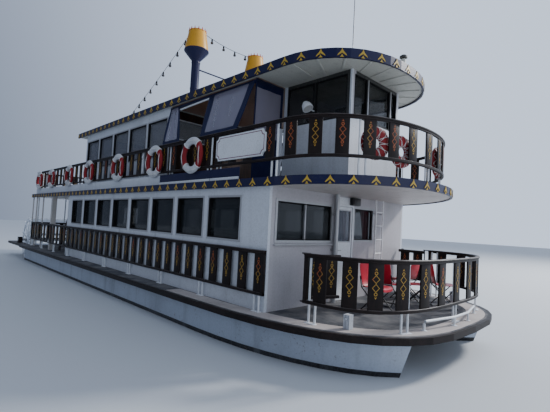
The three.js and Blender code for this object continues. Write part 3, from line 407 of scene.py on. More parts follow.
LOOKS = {
    "hull": painted("hull_paint", (0.4, 0.45, 0.53), grime=(0.16, 0.17, 0.19), scale=0.6, amount=0.55,
                    streaks=0.8, seams=[("x", 2.9, 0.006, 0.5)],
                    zones=[({"z": (-1, 0.53)}, (0.01, 0.01, 0.012))], chips=(0.5, (0.14, 0.1, 0.08))),
    "deck": painted("deck_coat", (0.06, 0.064, 0.076), grime=(0.028, 0.03, 0.036), roughness=0.75, scale=1.4,
                    streaks=0.0, seams=[("x", 0.06, 0.02, 0.6), ("y", 0.4, 0.006, 0.4)],
                    zones=[({"z": (1.085, 2)}, WHITE)], dust=0.2, bump=0.5, specular=0.2),
    "strake": timbered("strake_timber", (0.017, 0.01, 0.009), (0.006, 0.004, 0.004), (0.25, 3.0, 3.0),
                       worn=0.12, dust=0.02),
    "rail": timbered("rail_timber", (0.016, 0.009, 0.008), (0.006, 0.0035, 0.003), (0.6, 0.6, 4.0),
                     dust=0.25),
    "boards": timbered("board_timber", (0.014, 0.0075, 0.0065), (0.005, 0.003, 0.0028), (6.0, 6.0, 0.7)),
    "stair": timbered("stair_timber", (0.05, 0.026, 0.016), (0.02, 0.011, 0.008), (0.7, 3.0, 3.0)),
    "panel": timbered("panel_timber", (0.045, 0.02, 0.012), (0.02, 0.009, 0.006), (3.0, 3.0, 0.5), dust=0.0),
    "seat": timbered("seat_timber", (0.13, 0.05, 0.03), (0.06, 0.022, 0.014), (0.5, 3.0, 3.0),
                     roughness=0.35),
    "white": painted("white_paint", WHITE, seams=[("x", 0.61, 0.004, 0.35)], amount=0.3, zones=HELM_SHADE_STRIPS),
    # End walls: the walls' white darkened to a pinkish grey, as painted shade
    "front": painted("front_paint_painted_shade", (0.43, 0.41, 0.43), seams=[("y", 0.15, 0.004, 0.35)], amount=0.25,
                     zones=FRONT_SHADE_AND_LIGHT_ZONES),
    "trim": painted("trim_paint", (0.74, 0.77, 0.8), amount=0.3, streaks=0.3),
    "ladder": painted("ladder_paint", (0.9, 0.91, 0.92), amount=0.1, streaks=0.1),
    "margin": painted("deck_margin", (0.42, 0.37, 0.35), grime=(0.16, 0.14, 0.13), roughness=0.7, amount=0.5),
    "navy": painted("navy_paint", NAVY, grime=(0.012, 0.012, 0.018), amount=0.3, specular=0.3,
                    chips=(0.3, (0.05, 0.045, 0.04)), dust=0.08),
    "maroon": painted("border_paint", (0.16, 0.008, 0.03), amount=0.2),
    "gilt": painted("gold_paint", (0.5, 0.33, 0.035), grime=(0.2, 0.1, 0.02), roughness=0.45),
    "ornament": gilded(),
    "middle": painted("middle_deck_paint", (0.56, 0.53, 0.5), seams=[("y", 0.16, 0.006, 0.6)],
                      zones=[({"z": (3.3, 3.5)}, (0.14, 0.14, 0.15))], dust=0.2),
    # Roof and battens: partly their own cream colour, and partly a slight green tint that is painted
    # reflection of grass light
    "roof": painted("roof_paint_with_painted_reflection", (0.6, 0.6, 0.53), seams=[("x", 0.62, 0.01, 0.5)], dust=0.3,
                    zones=ROOF_ZONES),
    "batten": painted("batten_paint_with_painted_reflection", (0.6, 0.6, 0.54), amount=0.3),
    "steel": painted("grey_metal", (0.33, 0.33, 0.34), metallic=0.6),
    "aluminium": painted("window_aluminium", (0.42, 0.42, 0.43), metallic=0.4, amount=0.25),
    "black": painted("black_paint", (0.01, 0.01, 0.012), grime=(0.04, 0.036, 0.032), specular=0.3),
    "rubber": painted("black_rubber", (0.007, 0.007, 0.008), grime=(0.02, 0.02, 0.02), roughness=0.7,
                      specular=0.2),
    "red": painted("chair_plastic", (0.5, 0.008, 0.03), grime=(0.25, 0.01, 0.02), roughness=0.35, amount=0.3,
                   streaks=0.1, chips=(0.1, (0.5, 0.1, 0.1))),
    "buoy_red": painted("buoy_red", (0.24, 0.008, 0.012), grime=(0.1, 0.008, 0.01), roughness=0.5,
                        specular=0.25),
    "buoy_white": painted("buoy_white", (0.55, 0.56, 0.58), roughness=0.55, amount=0.5),
    "rope": painted("rope_fibre", (0.7, 0.7, 0.68), grime=(0.4, 0.38, 0.34), roughness=0.9, bump=1.0),
    "yellow": painted("funnel_yellow", (0.6, 0.29, 0.01), grime=(0.3, 0.13, 0.02), roughness=0.35,
                      amount=0.35),
    "spike": painted("spike_red", (0.45, 0.04, 0.015)),
    "wheel": painted("wheel_paint", (0.78, 0.82, 0.88), grime=(0.3, 0.32, 0.3)),
    "glass": glazed("window_glass", (0.013, 0.016, 0.017), 0.68, specular=0.4, zones=CLEAR_PANES),
    "upper_glass": glazed("upper_cabin_glass", (0.2, 0.22, 0.27), 0.33, specular=0.4),
    "helm_glass": glazed("helm_glass", (0.006, 0.008, 0.009), 0.5, specular=0.25),
    "clear": glazed("clear_vinyl", (0.25, 0.24, 0.31), 0.65, roughness=0.12),
    "lamp": glazed("lamp_glass", (0.6, 0.6, 0.58), 0.8),
    "bulb": glazed("bulb_glass", (0.03, 0.025, 0.025), 0.95),
    "canvas": woven("navy_canvas", (0.005, 0.008, 0.04), (0.012, 0.018, 0.07)),
    "curtain": woven("red_curtain", (0.05, 0.005, 0.012), (0.09, 0.01, 0.018)),
}

# Solids that keep their own shape, with their finish
KEPT = {
    "hull": ["hull_starboard", "hull_port"],
    "black": ["rudder_starboard", "rudder_port"],
    "steel": ["engine", "helm_console"],
    "deck": ["main_deck"],
    "strake": ["strake", "stern_beam_starboard", "stern_beam_port"],
    "white": ["saloon_wall_starboard", "saloon_wall_port", "upper_wall_starboard", "upper_wall_port",
              "wheelhouse_wall_starboard", "wheelhouse_wall_port"],
    "front": ["saloon_wall_front", "saloon_wall_aft", "upper_wall_aft", "wheelhouse_wall_front",
              "wheelhouse_wall_aft"],
    "ladder": ["ladder"],
    "glass": ["saloon_glass_starboard", "saloon_glass_port", "saloon_glass_front"],
    "upper_glass": ["upper_glass_starboard", "upper_glass_port"],
    "helm_glass": ["wheelhouse_glass"],
    "middle": ["middle_deck"],
    "navy": ["middle_fascia", "roof_fascia"],
    "roof": ["roof"],
    "stair": ["stair"],
    "seat": ["saloon_seats"],
    "aluminium": ["front_pipe"],
}
for look, names in KEPT.items():
    for kept_name in names:
        NODES[kept_name].data.materials.clear()
        NODES[kept_name].data.materials.append(LOOKS[look])


# Mesh building
SMOOTH_ANGLE = math.radians(35)
CURVE_STEPS = 48


def full_turn(count):
    """Evenly spaced angles of one full turn."""
    return [2 * math.pi * i / count for i in range(count)]


def band(a, b, count):
    """Faces between two closed loops of points, whose numbers start at a and b."""
    return [(a + i, a + (i + 1) % count, b + (i + 1) % count, b + i) for i in range(count)]


def grid_faces(rows, columns):
    """Faces between neighbouring points of a grid whose points are numbered row by row."""
    return [(r * columns + c, r * columns + c + 1, (r + 1) * columns + c + 1, (r + 1) * columns + c)
            for r in range(rows - 1) for c in range(columns - 1)]


def inset(span, by):
    """A span made shorter by the same length at both ends."""
    return (span[0] + by, span[1] - by)


def mirrored(y, a, b):
    """A span across the boat: as given for port, where y is 1, and its mirror image for starboard."""
    return sorted((y * a, y * b))


def rectangle(us, vs):
    return [(us[0], vs[0]), (us[1], vs[0]), (us[1], vs[1]), (us[0], vs[1])]


class Shape:
    """One mesh made from simple closed forms, each with one of its named finishes."""

    def __init__(self, *finishes):
        self.mesh = bmesh.new()
        self.finishes = list(finishes)

    def number(self, finish):
        if finish not in self.finishes:
            self.finishes.append(finish)
        return self.finishes.index(finish)

    def add(self, finish, verts, faces, turn=None):
        made = [self.mesh.verts.new(turn @ Vector(v) if turn else v) for v in verts]
        fresh = [self.mesh.faces.new([made[i] for i in face]) for face in faces]
        for face in fresh:
            face.material_index = self.number(finish)
        bmesh.ops.recalc_face_normals(self.mesh, faces=fresh)
        return fresh

    def box(self, finish, xs, ys, zs, bevel=0.0, turn=None):
        corners = [(x, y, z) for x in xs for y in ys for z in zs]
        faces = [(0, 1, 3, 2), (4, 6, 7, 5), (0, 4, 5, 1), (2, 3, 7, 6), (0, 2, 6, 4), (1, 5, 7, 3)]
        fresh = self.add(finish, corners, faces, turn)
        if bevel:
            edges = {edge for face in fresh for edge in face.edges}
            bmesh.ops.bevel(self.mesh, geom=list(edges), offset=bevel, segments=2, profile=0.5,
                            affect="EDGES")
        return self

    def prism(self, finish, outline, span, turn=None, hole=None):
        """An outline in the local x and z, or a ring of it, given a depth along the local y."""
        count = len(outline)
        verts = [(u, y, v) for loop in (outline, hole or []) for y in span for u, v in loop]
        if hole is None:
            faces = [*band(0, count, count), tuple(range(count)), tuple(range(count, 2 * count))]
        else:
            pairs = [(0, 1), (2, 3), (0, 2), (1, 3)]
            faces = [face for a, b in pairs for face in band(a * count, b * count, count)]
        self.add(finish, verts, faces, turn)
        return self

    def frame(self, finish, us, vs, span, width, turn=None):
        """A flat rim round an opening in the local x and z."""
        outer = rectangle(inset(us, -width), inset(vs, -width))
        return self.prism(finish, outer, span, turn, hole=rectangle(us, vs))

    def rings(self, finish, verts, count, closed=False):
        """Rings of count points each, joined in order. If not closed, both ends get a cap."""
        number = len(verts) // count
        faces = []
        for k in range(number if closed else number - 1):
            faces += band(k * count, (k + 1) % number * count, count)
        if not closed:
            faces += [tuple(range(count)), tuple(range(len(verts) - count, len(verts)))]
        self.add(finish, verts, faces)
        return self

    def sweep(self, finish, profile, path, closed=False, upright=True):
        """A closed profile (out, up) carried along a path with mitred corners."""
        points = [Vector(p) for p in path]
        verts = []
        for i, point in enumerate(points):
            steps = []
            if i or closed:
                steps.append((point - points[i - 1]).normalized())
            if i + 1 < len(points) or closed:
                steps.append((points[(i + 1) % len(points)] - point).normalized())
            tangent = sum(steps, Vector()).normalized()
            up = Vector((0, 0, 1)) if upright or abs(tangent.z) < 0.9 else Vector((0, 1, 0))
            out = tangent.cross(up).normalized()
            over = up if upright else out.cross(tangent)
            stretch = 1 / max(0.4, tangent.dot(steps[0]))
            verts += [point + out * u * stretch + over * v for u, v in profile]
        return self.rings(finish, verts, len(profile), closed)

    def tube(self, finish, path, radius, sides=10, closed=False):
        section = [(radius * math.cos(t), radius * math.sin(t)) for t in full_turn(sides)]
        return self.sweep(finish, section, path, closed, upright=False)

    def lathe(self, finish, profile, turn=None, sides=24):
        """A profile (radius, height) spun about the local z. It starts and ends on the axis."""
        verts, rings = [], []
        for radius, z in profile:
            angles = full_turn(sides) if radius > 1e-6 else [0.0]
            rings.append(range(len(verts), len(verts) + len(angles)))
            verts += [(radius * math.cos(t), radius * math.sin(t), z) for t in angles]
        faces = []
        for low, high in zip(rings, rings[1:]):
            for i in range(sides):
                a, b = low[i % len(low)], low[(i + 1) % sides % len(low)]
                c, d = high[(i + 1) % sides % len(high)], high[i % len(high)]
                face = tuple(dict.fromkeys((a, b, c, d)))
                if len(face) > 2:
                    faces.append(face)
        self.add(finish, verts, faces, turn)
        return self

    def take(self, finish, mesh, turn=None):
        """Adds a finished mesh, in one finish."""
        before = set(self.mesh.faces)
        start = len(self.mesh.verts)
        self.mesh.from_mesh(mesh)
        self.mesh.verts.ensure_lookup_table()
        index = self.number(finish)
        for face in self.mesh.faces:
            if face not in before:
                face.material_index = index
        if turn:
            bmesh.ops.transform(self.mesh, matrix=turn, verts=self.mesh.verts[start:])
        bpy.data.meshes.remove(mesh)
        return self

    def put(self, finish, part, places):
        """Adds a part at each place (x, y, z, turn about z in degrees), all in one finish."""
        return self.take(finish, put_at(places, part, finish))

    def moved(self, change):
        for vert in self.mesh.verts:
            vert.co = change(vert.co)
        return self

    def object(self, name):
        data = bpy.data.meshes.new(name)
        self.mesh.to_mesh(data)
        self.mesh.free()
        for finish in self.finishes:
            data.materials.append(LOOKS[finish])
        data.polygons.foreach_set("use_smooth", [True] * len(data.polygons))
        data.set_sharp_from_angle(angle=SMOOTH_ANGLE)
        made = bpy.data.objects.new(name, data)
        bpy.context.scene.collection.objects.link(made)
        return made

    def piece(self, name, slot, replaces=(), body="boat"):
        made = self.object(name)
        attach(made, body)
        if replaces:
            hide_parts(*replaces)
        return made


def rounded(width, height, corner=0.006):
    """A rectangle's profile with cut corners, centred on the path."""
    u, v = width / 2, height / 2
    return [(-u, -v + corner), (-u + corner, -v), (u - corner, -v), (u, -v + corner),
            (u, v - corner), (u - corner, v), (-u + corner, v), (-u, v - corner)]


def front_curve(front, out=0.0):
    start, reach, half, power = FRONTS[front]
    points = []
    for i in range(CURVE_STEPS + 1):
        angle = (i / CURVE_STEPS - 0.5) * math.pi
        ahead = abs(math.cos(angle)) ** (2 / power) if 0 < i < CURVE_STEPS else 0.0
        across = math.copysign(abs(math.sin(angle)) ** (2 / power), angle)
        points.append((start + (reach + out) * ahead, (half + out) * across))
    return points


def line_length(line):
    return sum(math.dist(a, b) for a, b in zip(line, line[1:]))


# Geometry Nodes trees for what repeats
def growing_tree(name, inputs):
    tree = bpy.data.node_groups.new(name, "GeometryNodeTree")
    tree.interface.new_socket("Geometry", in_out="INPUT", socket_type="NodeSocketGeometry")
    for label, kind in inputs:
        tree.interface.new_socket(label, in_out="INPUT", socket_type=kind)
    tree.interface.new_socket("Geometry", in_out="OUTPUT", socket_type="NodeSocketGeometry")
    return tree, wire(tree, "NodeGroupInput").outputs, wire(tree, "NodeGroupOutput").inputs


PART_INPUTS = [("Part", "NodeSocketObject"), ("Finish", "NodeSocketMaterial")]


def end_tree(tree, given, result, points, rotation):
    """Puts the part on the points, and ends the tree in real faces with their finish."""
    part = wire(tree, "GeometryNodeObjectInfo", {"Object": given["Part"]}).outputs["Geometry"]
    placed = wire(tree, "GeometryNodeInstanceOnPoints",
                  {"Points": points, "Instance": part, "Rotation": rotation})
    real = wire(tree, "GeometryNodeRealizeInstances", {"Geometry": placed.outputs[0]})
    done = wire(tree, "GeometryNodeSetMaterial", {"Geometry": real.outputs[0], "Material": given["Finish"]})
    tree.links.new(done.outputs[0], result[0])
    return tree


def spread_tree():
    """Repeats a part along a line, evenly; Shift is in pitches."""
    inputs = [*PART_INPUTS, ("Count", "NodeSocketInt"), ("Shift", "NodeSocketFloat")]
    tree, given, result = growing_tree("spread along a line", inputs)
    line = wire(tree, "GeometryNodeMeshToCurve", {0: given["Geometry"]}).outputs[0]
    index = wire(tree, "GeometryNodeInputIndex").outputs[0]
    place = plus(tree, plus(tree, index, 0.5), given["Shift"])
    share = maths(tree, "DIVIDE", place, given["Count"])
    sample = wire(tree, "GeometryNodeSampleCurve", {"Curves": line, "Factor": share}, mode="FACTOR",
                  use_all_curves=True)
    points = wire(tree, "GeometryNodePoints",
                  {"Count": given["Count"], "Position": sample.outputs["Position"]})
    turn = wire(tree, "FunctionNodeAlignRotationToVector", {"Vector": sample.outputs["Tangent"]}, axis="X",
                pivot_axis="Z")
    return end_tree(tree, given, result, points.outputs[0], turn.outputs[0])


def ring_tree():
    """Repeats a part round a centre; Turn is one full turn about the axis, as an Euler vector."""
    inputs = [*PART_INPUTS, ("Count", "NodeSocketInt"), ("Turn", "NodeSocketVector")]
    tree, given, result = growing_tree("repeat round a centre", inputs)
    share = maths(tree, "DIVIDE", wire(tree, "GeometryNodeInputIndex").outputs[0], given["Count"])
    euler = wire(tree, "ShaderNodeVectorMath", {0: given["Turn"], "Scale": share}, operation="SCALE")
    turn = wire(tree, "FunctionNodeEulerToRotation", {0: euler.outputs[0]})
    points = wire(tree, "GeometryNodePoints", {"Count": given["Count"]})
    return end_tree(tree, given, result, points.outputs[0], turn.outputs[0])


def places_tree():
    """Repeats a part on a mesh's points, each turned as the point's attribute says."""
    tree, given, result = growing_tree("put at places", PART_INPUTS)
    points = wire(tree, "GeometryNodeMeshToPoints", {0: given["Geometry"]})
    saved = wire(tree, "GeometryNodeInputNamedAttribute", {"Name": "turn"}, data_type="FLOAT_VECTOR")
    turn = wire(tree, "FunctionNodeEulerToRotation", {0: saved.outputs[0]})
    return end_tree(tree, given, result, points.outputs[0], turn.outputs[0])


SPREAD = spread_tree()
RING = ring_tree()
PLACES = places_tree()


def grown(tree, points, part, finish, edges=(), turns=None, **inputs):
    """The plain mesh that a tree makes from points and a part; nothing of the tree stays."""
    data = bpy.data.meshes.new("base")
    data.from_pydata([Vector(p) for p in points], list(edges), [])
    if turns is not None:
        data.attributes.new("turn", "FLOAT_VECTOR", "POINT").data.foreach_set(
            "vector", [value for turn in turns for value in turn])
    base = bpy.data.objects.new("base", data)
    bpy.context.scene.collection.objects.link(base)
    source = part.object("part")
    modifier = base.modifiers.new("repeat", "NODES")
    modifier.node_group = tree
    values = {"Part": source, "Finish": LOOKS[finish], **inputs}
    for item in tree.interface.items_tree:
        if item.in_out == "INPUT" and item.name in values:
            modifier[item.identifier] = values[item.name]
    graph = bpy.context.evaluated_depsgraph_get()
    mesh = bpy.data.meshes.new_from_object(base.evaluated_get(graph))
    for used in (base, source):
        bpy.data.objects.remove(used)
    return mesh


def spread_on(line, part, finish, count, shift):
    points = [(x, y, 0.0) for x, y in line]
    edges = [(i, i + 1) for i in range(len(points) - 1)]
    return grown(SPREAD, points, part, finish, edges, Count=count, Shift=shift)


def put_at(places, part, finish):
    """Places are (x, y, z, turn about z in degrees)."""
    turns = [(0.0, 0.0, math.radians(turn)) for *_, turn in places]
    return grown(PLACES, [p[:3] for p in places], part, finish, turns=turns)


# Fence boards and their painted ornament
def diamond(width, height, centre):
    u, v = width / 2, height / 2
    return [(0, centre - v), (u, centre), (0, centre + v), (-u, centre)]


def circle(radius, centre):
    return [(radius * math.sin(t), centre - radius * math.cos(t)) for t in full_turn(10)]


# columns: form, its outer and inner sizes, how far it sits above and below the board's middle
LINKS = [(diamond, (0.112, 0.124), (0.093, 0.1), 0.062), (circle, (0.026,), (0.016,), 0.148)]
LEAF_TIP = [(0, 0.22), (-0.02, 0.184), (0, 0.197), (0.02, 0.184)]
# How far ornament sinks into a board's face and stands out of it
PAINT_DEPTH = (-0.002, 0.0025)


def ornament(middle):
    """A chain of leaf tips, rings and diamonds on both faces of a board, centred at a height."""
    made = Shape("ornament")
    lift = Matrix.Translation((0, 0, middle))
    for face in (-1, 1):
        span = mirrored(face, *[BOARD["thick"] / 2 + depth for depth in PAINT_DEPTH])
        for form, outer, inner, height in LINKS:
            for centre in (height, -height):
                made.prism("ornament", form(*outer, centre), span, lift, hole=form(*inner, centre))
        for way in (1, -1):
            made.prism("ornament", [(way * u, way * v) for u, v in LEAF_TIP], span, lift)
    return made


def board(low, high):
    u, v = BOARD["width"] / 2, BOARD["thick"] / 2
    return Shape("boards").box("boards", (-u, u), (-v, v), (low, high), bevel=0.004)


def point_along(line, distance):
    """The point at a distance from a line's start, and the line's direction there in degrees."""
    for a, b in zip(line, line[1:]):
        length = math.dist(a, b)
        if distance <= length and length > 0:
            share = distance / length
            turn = math.degrees(math.atan2(b[1] - a[1], b[0] - a[0]))
            return (a[0] + (b[0] - a[0]) * share, a[1] + (b[1] - a[1]) * share, turn)
        distance -= length
    return (*line[-1], 0.0)


def spots_on(line, distances, z=0.0):
    """Places on a line, at distances from its start and at one height."""
    spots = [point_along(line, distance) for distance in distances]
    return [(x, y, z, turn) for x, y, turn in spots]


def evenly(line, pitch, shift=0.0):
    """Distances of evenly spaced middles along a line, at the pitch that fits nearest."""
    length = line_length(line)
    count = max(1, round(length / pitch))
    return [length * (i + 0.5) / count + shift for i in range(count)]


def both_sides(line, places):
    """Distances along a line whose second half mirrors the first, with one at its middle."""
    length = line_length(line)
    return [*places, length / 2, *[length - place for place in places]]


def fence(line, low, high, middles, cap=0.07, ends=False):
    """Boards between a bottom rail and a capped top rail, with a post at each end if asked."""
    made = Shape("rail", "boards", "ornament")
    made.sweep("rail", rounded(0.05, 0.05), [(x, y, low + 0.025) for x, y in line])
    made.sweep("rail", rounded(cap, 0.036, 0.01), [(x, y, high - 0.018) for x, y in line])
    made.sweep("rail", rounded(0.044, 0.034), [(x, y, high - 0.05) for x, y in line])
    if ends:
        half = END_POST / 2
        post = Shape("rail").box("rail", (-half, half), (-0.023, 0.023), (low, high - 0.03), 0.005)
        made.put("rail", post, spots_on(line, (half, line_length(line) - half)))
    places = spots_on(line, middles)
    made.put("boards", board(low + 0.02, high - 0.03), places)
    made.put("ornament", ornament(low + (high - low) * 0.55), places)
    return made


FEET = {"first": 0.16, "spacing": 1.6, "apart": 0.06, "half": 0.014, "inward": 0.028}


def add_feet(made, line, bottom, top, inward=FEET["inward"]):
    """Pairs of thin posts on foot plates, that hold up a fence."""
    half = FEET["half"]
    pair = Shape("trim").box("trim", (-0.1, 0.1), (-0.035, 0.035), (0, 0.012), bevel=0.003)
    for x in (-FEET["apart"], FEET["apart"]):
        ys = (inward - half, inward + half)
        pair.box("trim", (x - half, x + half), ys, (0.01, top - bottom), bevel=0.004)
    span = line_length(line) - 2 * FEET["first"]
    count = max(1, round(span / FEET["spacing"]))
    return made.put("trim", pair, spots_on(line, [FEET["first"] + span * i / count for i in range(count + 1)],
                                           bottom))


def sheered(made):
    return made.moved(lambda p: Vector((p.x, p.y, p.z + rise(p.x))))


# columns: underside, top, top of the feet
FENCES = {"side": (1.36, 2.115, 1.37), "foredeck": (1.37, 2.14, 2.1), "upper": (3.65, 4.35, 4.3)}
FENCE_AFT, FENCE_Y = DECK_AFT + 0.09, CABIN["half"] + 0.055
SIDE_PITCH, SIDE_SHIFT, AFT_PITCH = 0.43, 0.08, 0.455
# Middles of the boards of the two front rails, from their starboard ends to the centreline
FOREDECK_BOARDS = [0.308, 0.784, 1.149, 1.577, 2.05, 2.56]
UPPER_BOARDS = [0.17, 0.61, 1.051, 1.651, 2.133, 2.56, 2.991, 3.458, 3.932, 4.401]


def make_side_fences():
    low, high, feet = FENCES["side"]
    for side, y in SIDES.items():
        line = [(FENCE_AFT, y * FENCE_Y), (CABIN["front"] + 0.02, y * FENCE_Y)]
        made = fence(line, low, high, evenly(line, SIDE_PITCH, SIDE_SHIFT), cap=0.06, ends=True)
        add_feet(made, line, DECK_TOP + GAP, feet, inward=0.0)
        made.piece(f"side_fence_{side}_boards", "brown_board", [f"side_fence_{side}"])


def make_aft_fence():
    low, high, _ = FENCES["side"]
    x, end = FENCE_AFT + 0.05, FENCE_Y - 0.06
    line = [(x, -end), (x, end)]
    made = fence(line, low, high, evenly(line, AFT_PITCH))
    zs = (DECK_TOP + GAP, MID_UNDER - GAP)
    post = Shape("trim").box("trim", (-0.022, 0.022), (-0.022, 0.022), zs, 0.004)
    made.put("trim", post, [(x, y, 0.0, 0.0) for y in (-2.2, -1.1, 0.0, 1.1, 2.2)])
    made.piece("aft_fence_boards", "brown_board", ["aft_fence"])


def make_foredeck_rail():
    """The rail round the foredeck, with the plates that the gates' pins stand in."""
    low, high, feet = FENCES["foredeck"]
    line = front_curve("foredeck_rail")
    made = fence(line, low, high, both_sides(line, FOREDECK_BOARDS), ends=True)
    add_feet(made, line, DECK_TOP + GAP, feet)
    for y in SIDES.values():
        for z in (1.37, 2.12):
            xs = (GATE["x"] - 0.03, GATE["x"] + 0.09)
            made.box("black", xs, mirrored(y, 2.12, 2.2), (z, z + 0.02), 0.003)
    made.piece("foredeck_rail_boards", "brown_board", ["foredeck_rail"])


def upper_front_line():
    return [(RAIL_SPLIT, -RAIL_Y), *front_curve("upper_rail"), (RAIL_SPLIT, RAIL_Y)]


def make_upper_rails():
    """The upper deck's rail, in a front half that follows the sheer and a level after half."""
    low, high, feet = FENCES["upper"]
    line = upper_front_line()
    made = fence(line, low, high, both_sides(line, UPPER_BOARDS))
    add_feet(made, line, MID_TOP + GAP, feet)
    for y in SIDES.values():
        add_name_board(made, y)
        add_toe_board(made, y, (5.96, 6.88), "navy")
    sheered(made).piece("upper_rail_front_boards", "brown_board", ["upper_rail_front"])

    aft, join = MID_AFT + 0.12, RAIL_SPLIT - 0.01
    line = [(join, RAIL_Y), (aft, RAIL_Y), (aft, -RAIL_Y), (join, -RAIL_Y)]
    made = fence(line, low, high, evenly(line, AFT_PITCH))
    add_feet(made, line, MID_TOP + GAP, feet)
    for y in SIDES.values():
        add_toe_board(made, y, (aft + 0.06, 3.85), "white")
        add_toe_board(made, y, (3.85, 5.955), "navy")
    made.piece("upper_rail_after_boards", "brown_board", ["upper_rail_after"])


def notched(xs, zs, notch):
    """A rectangle whose corners are hollowed by quarter circles."""
    # columns: corner, angle where its hollow starts
    corners = [(xs[0], zs[0], 0), (xs[0], zs[1], 270), (xs[1], zs[1], 180), (xs[1], zs[0], 90)]
    points = []
    for x, z, start in corners:
        angles = [math.radians(start + 22.5 * step) for step in range(5)]
        points += [(x + notch * math.cos(a), z + notch * math.sin(a)) for a in angles]
    return points


NAME_BOARD = {"xs": (6.12, 7.57), "zs": (3.757, 4.245), "back": 2.265, "face": 2.295, "notch": 0.075}


def add_name_board(made, y):
    """A blank white board with hollow corners and a thin painted border."""
    xs, zs, back, face, notch = NAME_BOARD.values()
    made.prism("trim", notched(xs, zs, notch), mirrored(y, back, face))
    outer, inner = (notched(inset(xs, by), inset(zs, by), notch) for by in (0.03, 0.042))
    made.prism("maroon", outer, mirrored(y, face, face + 0.003), hole=inner)


def add_toe_board(made, y, xs, finish):
    """White aft, and navy along the open bay over a white moulding."""
    made.box(finish, xs, mirrored(y, 2.274, 2.29), (MID_TOP + 0.005, 3.6))
    if finish == "navy":
        made.box("trim", xs, mirrored(y, 2.288, 2.308), (3.35, 3.425), bevel=0.004)


def make_gates():
    for side, y in SIDES.items():
        line = [(-GATE["length"], 0.0), (0.0, 0.0)]
        made = fence(line, GATE["low"], GATE["high"], evenly(line, 0.325), cap=0.05)
        made.tube("black", [(0, 0, 1.372), (0, 0, 2.138)], 0.012, 12)
        turn = math.radians(GATE_SWING[side])
        place = Matrix.Translation((GATE["x"], y * GATE["y"], 0)) @ Matrix.Rotation(turn, 4, "Z")
        made.moved(lambda p, place=place: place @ p)
        made.piece(f"gate_{side}_boards", "brown_board", [f"gate_{side}"], body=f"gate_{side}")


make_side_fences()
make_aft_fence()
make_foredeck_rail()
make_upper_rails()
make_gates()


# Gold emblems on the two navy fascias
# Half outlines, to one side, for a height of 1
SPEAR = [(0.0, 0.5), (0.08, 0.27), (0.17, 0.12), (0.3, -0.03), (0.46, -0.2), (0.52, -0.36), (0.4, -0.31),
         (0.26, -0.2), (0.12, -0.13), (0.0, -0.02)]
FOOT = [(0.0, -0.17), (0.05, -0.28), (0.11, -0.4), (0.22, -0.5)]


def emblem(size):
    """A spear head with curled flukes over a flared foot."""
    made = Shape("gilt")
    for half in (SPEAR, FOOT):
        outline = half + [(-u, v) for u, v in reversed(half) if u > 0]
        made.prism("gilt", [(u * size, v * size) for u, v in outline], (-0.004, 0.004))
    return made


# columns: front, aft end, height at the middle, emblem size, count, shift in pitches
FASCIAS = {
    "middle": ("middle", MID_AFT, 3.277, 0.15, 103, -0.238),
    "roof": ("roof", ROOF_AFT, 5.615, 0.164, 75, -0.327),
}
EMBLEM_OUT = 0.042


def make_emblems():
    """Rows of small gold emblems that run round each fascia."""
    for name, (front, aft, z, size, count, shift) in FASCIAS.items():
        half = FRONTS[front][2] + EMBLEM_OUT
        line = [(aft, -half), *front_curve(front, EMBLEM_OUT), (aft, half)]
        made = Shape("gilt")
        made.take("gilt", spread_on(line, emblem(size), "gilt", count, shift))
        made.moved(lambda p, z=z: Vector((p.x, p.y, p.z + z)))
        if name == "middle":
            sheered(made)
        made.piece(f"{name}_fascia_emblems", "navy_paint")


make_emblems()


# Battens that fan out under the roof's front
BATTENS = {"centre": (7.3, 0.0), "turns": range(-80, 81, 16), "half": 0.02, "thick": 0.014}


def make_roof_battens():
    """Each batten starts clear of the wheelhouse and ends short of the roof's edge."""
    made = Shape("batten")
    cx, cy = BATTENS["centre"]
    edge = front_curve("roof", -0.03)
    for turn in BATTENS["turns"]:
        angle = math.radians(turn)
        ahead = Vector((math.cos(angle), math.sin(angle)))
        reach = min((abs(ahead.cross(Vector((x - cx, y - cy)))), (x - cx) * ahead.x + (y - cy) * ahead.y)
                    for x, y in edge)[1]
        start = min((HELM["front"] + 0.02 - cx) / max(ahead.x, 0.01),
                    (HELM["half"] + 0.02) / max(abs(ahead.y), 0.01))
        place = Matrix.Translation((cx, cy, ROOF_UNDER - GAP)) @ Matrix.Rotation(angle, 4, "Z")
        made.box("batten", (start + 0.03, reach - 0.03), (-BATTENS["half"], BATTENS["half"]),
                 (-BATTENS["thick"], 0), 0.003, turn=place)
    made.piece("roof_battens", "white_paint")


make_roof_battens()


# Window frames
def side_turn(y, wall):
    """Local x runs along the boat and local y points out of the wall, for either side."""
    return Matrix(((1, 0, 0, 0), (0, y, 0, y * wall), (0, 0, 1, 0), (0, 0, 0, 1)))


def front_turn(x):
    """Local x runs across the boat and local y points forwards."""
    return Matrix(((0, 1, 0, x), (1, 0, 0, 0), (0, 0, 1, 0), (0, 0, 0, 1)))


# columns: table of windows, wall, height of the opening
GLAZING = {"saloon": (WINDOW, CABIN["half"], (CABIN["sill"], CABIN["head"])),
           "upper": (UPPER_WINDOW, UPPER["half"], (UPPER["sill"], UPPER["head"]))}
# columns: finish, how far inside the opening, width of the rim, span out of the wall
SIDE_RIMS = [("aluminium", 0.015, 0.04, (-0.012, 0.02)), ("rubber", 0.035, 0.022, (-0.014, 0.05))]
FRONT_RIMS = [("aluminium", 0.02, 0.045, (-0.03, 0.014)), ("rubber", 0.04, 0.02, (-0.05, -0.01))]
# columns: y span, z span
FRONT_OPENINGS = [((-2.165, -0.6), (2.271, 2.989)), ((0.17, 0.93), (2.29, 3.0))]
HELM_SIDE_PANES = [(6.71, 7.42), (7.48, 8.24)]
HELM_BAR_HEIGHT = (4.66, 5.5)


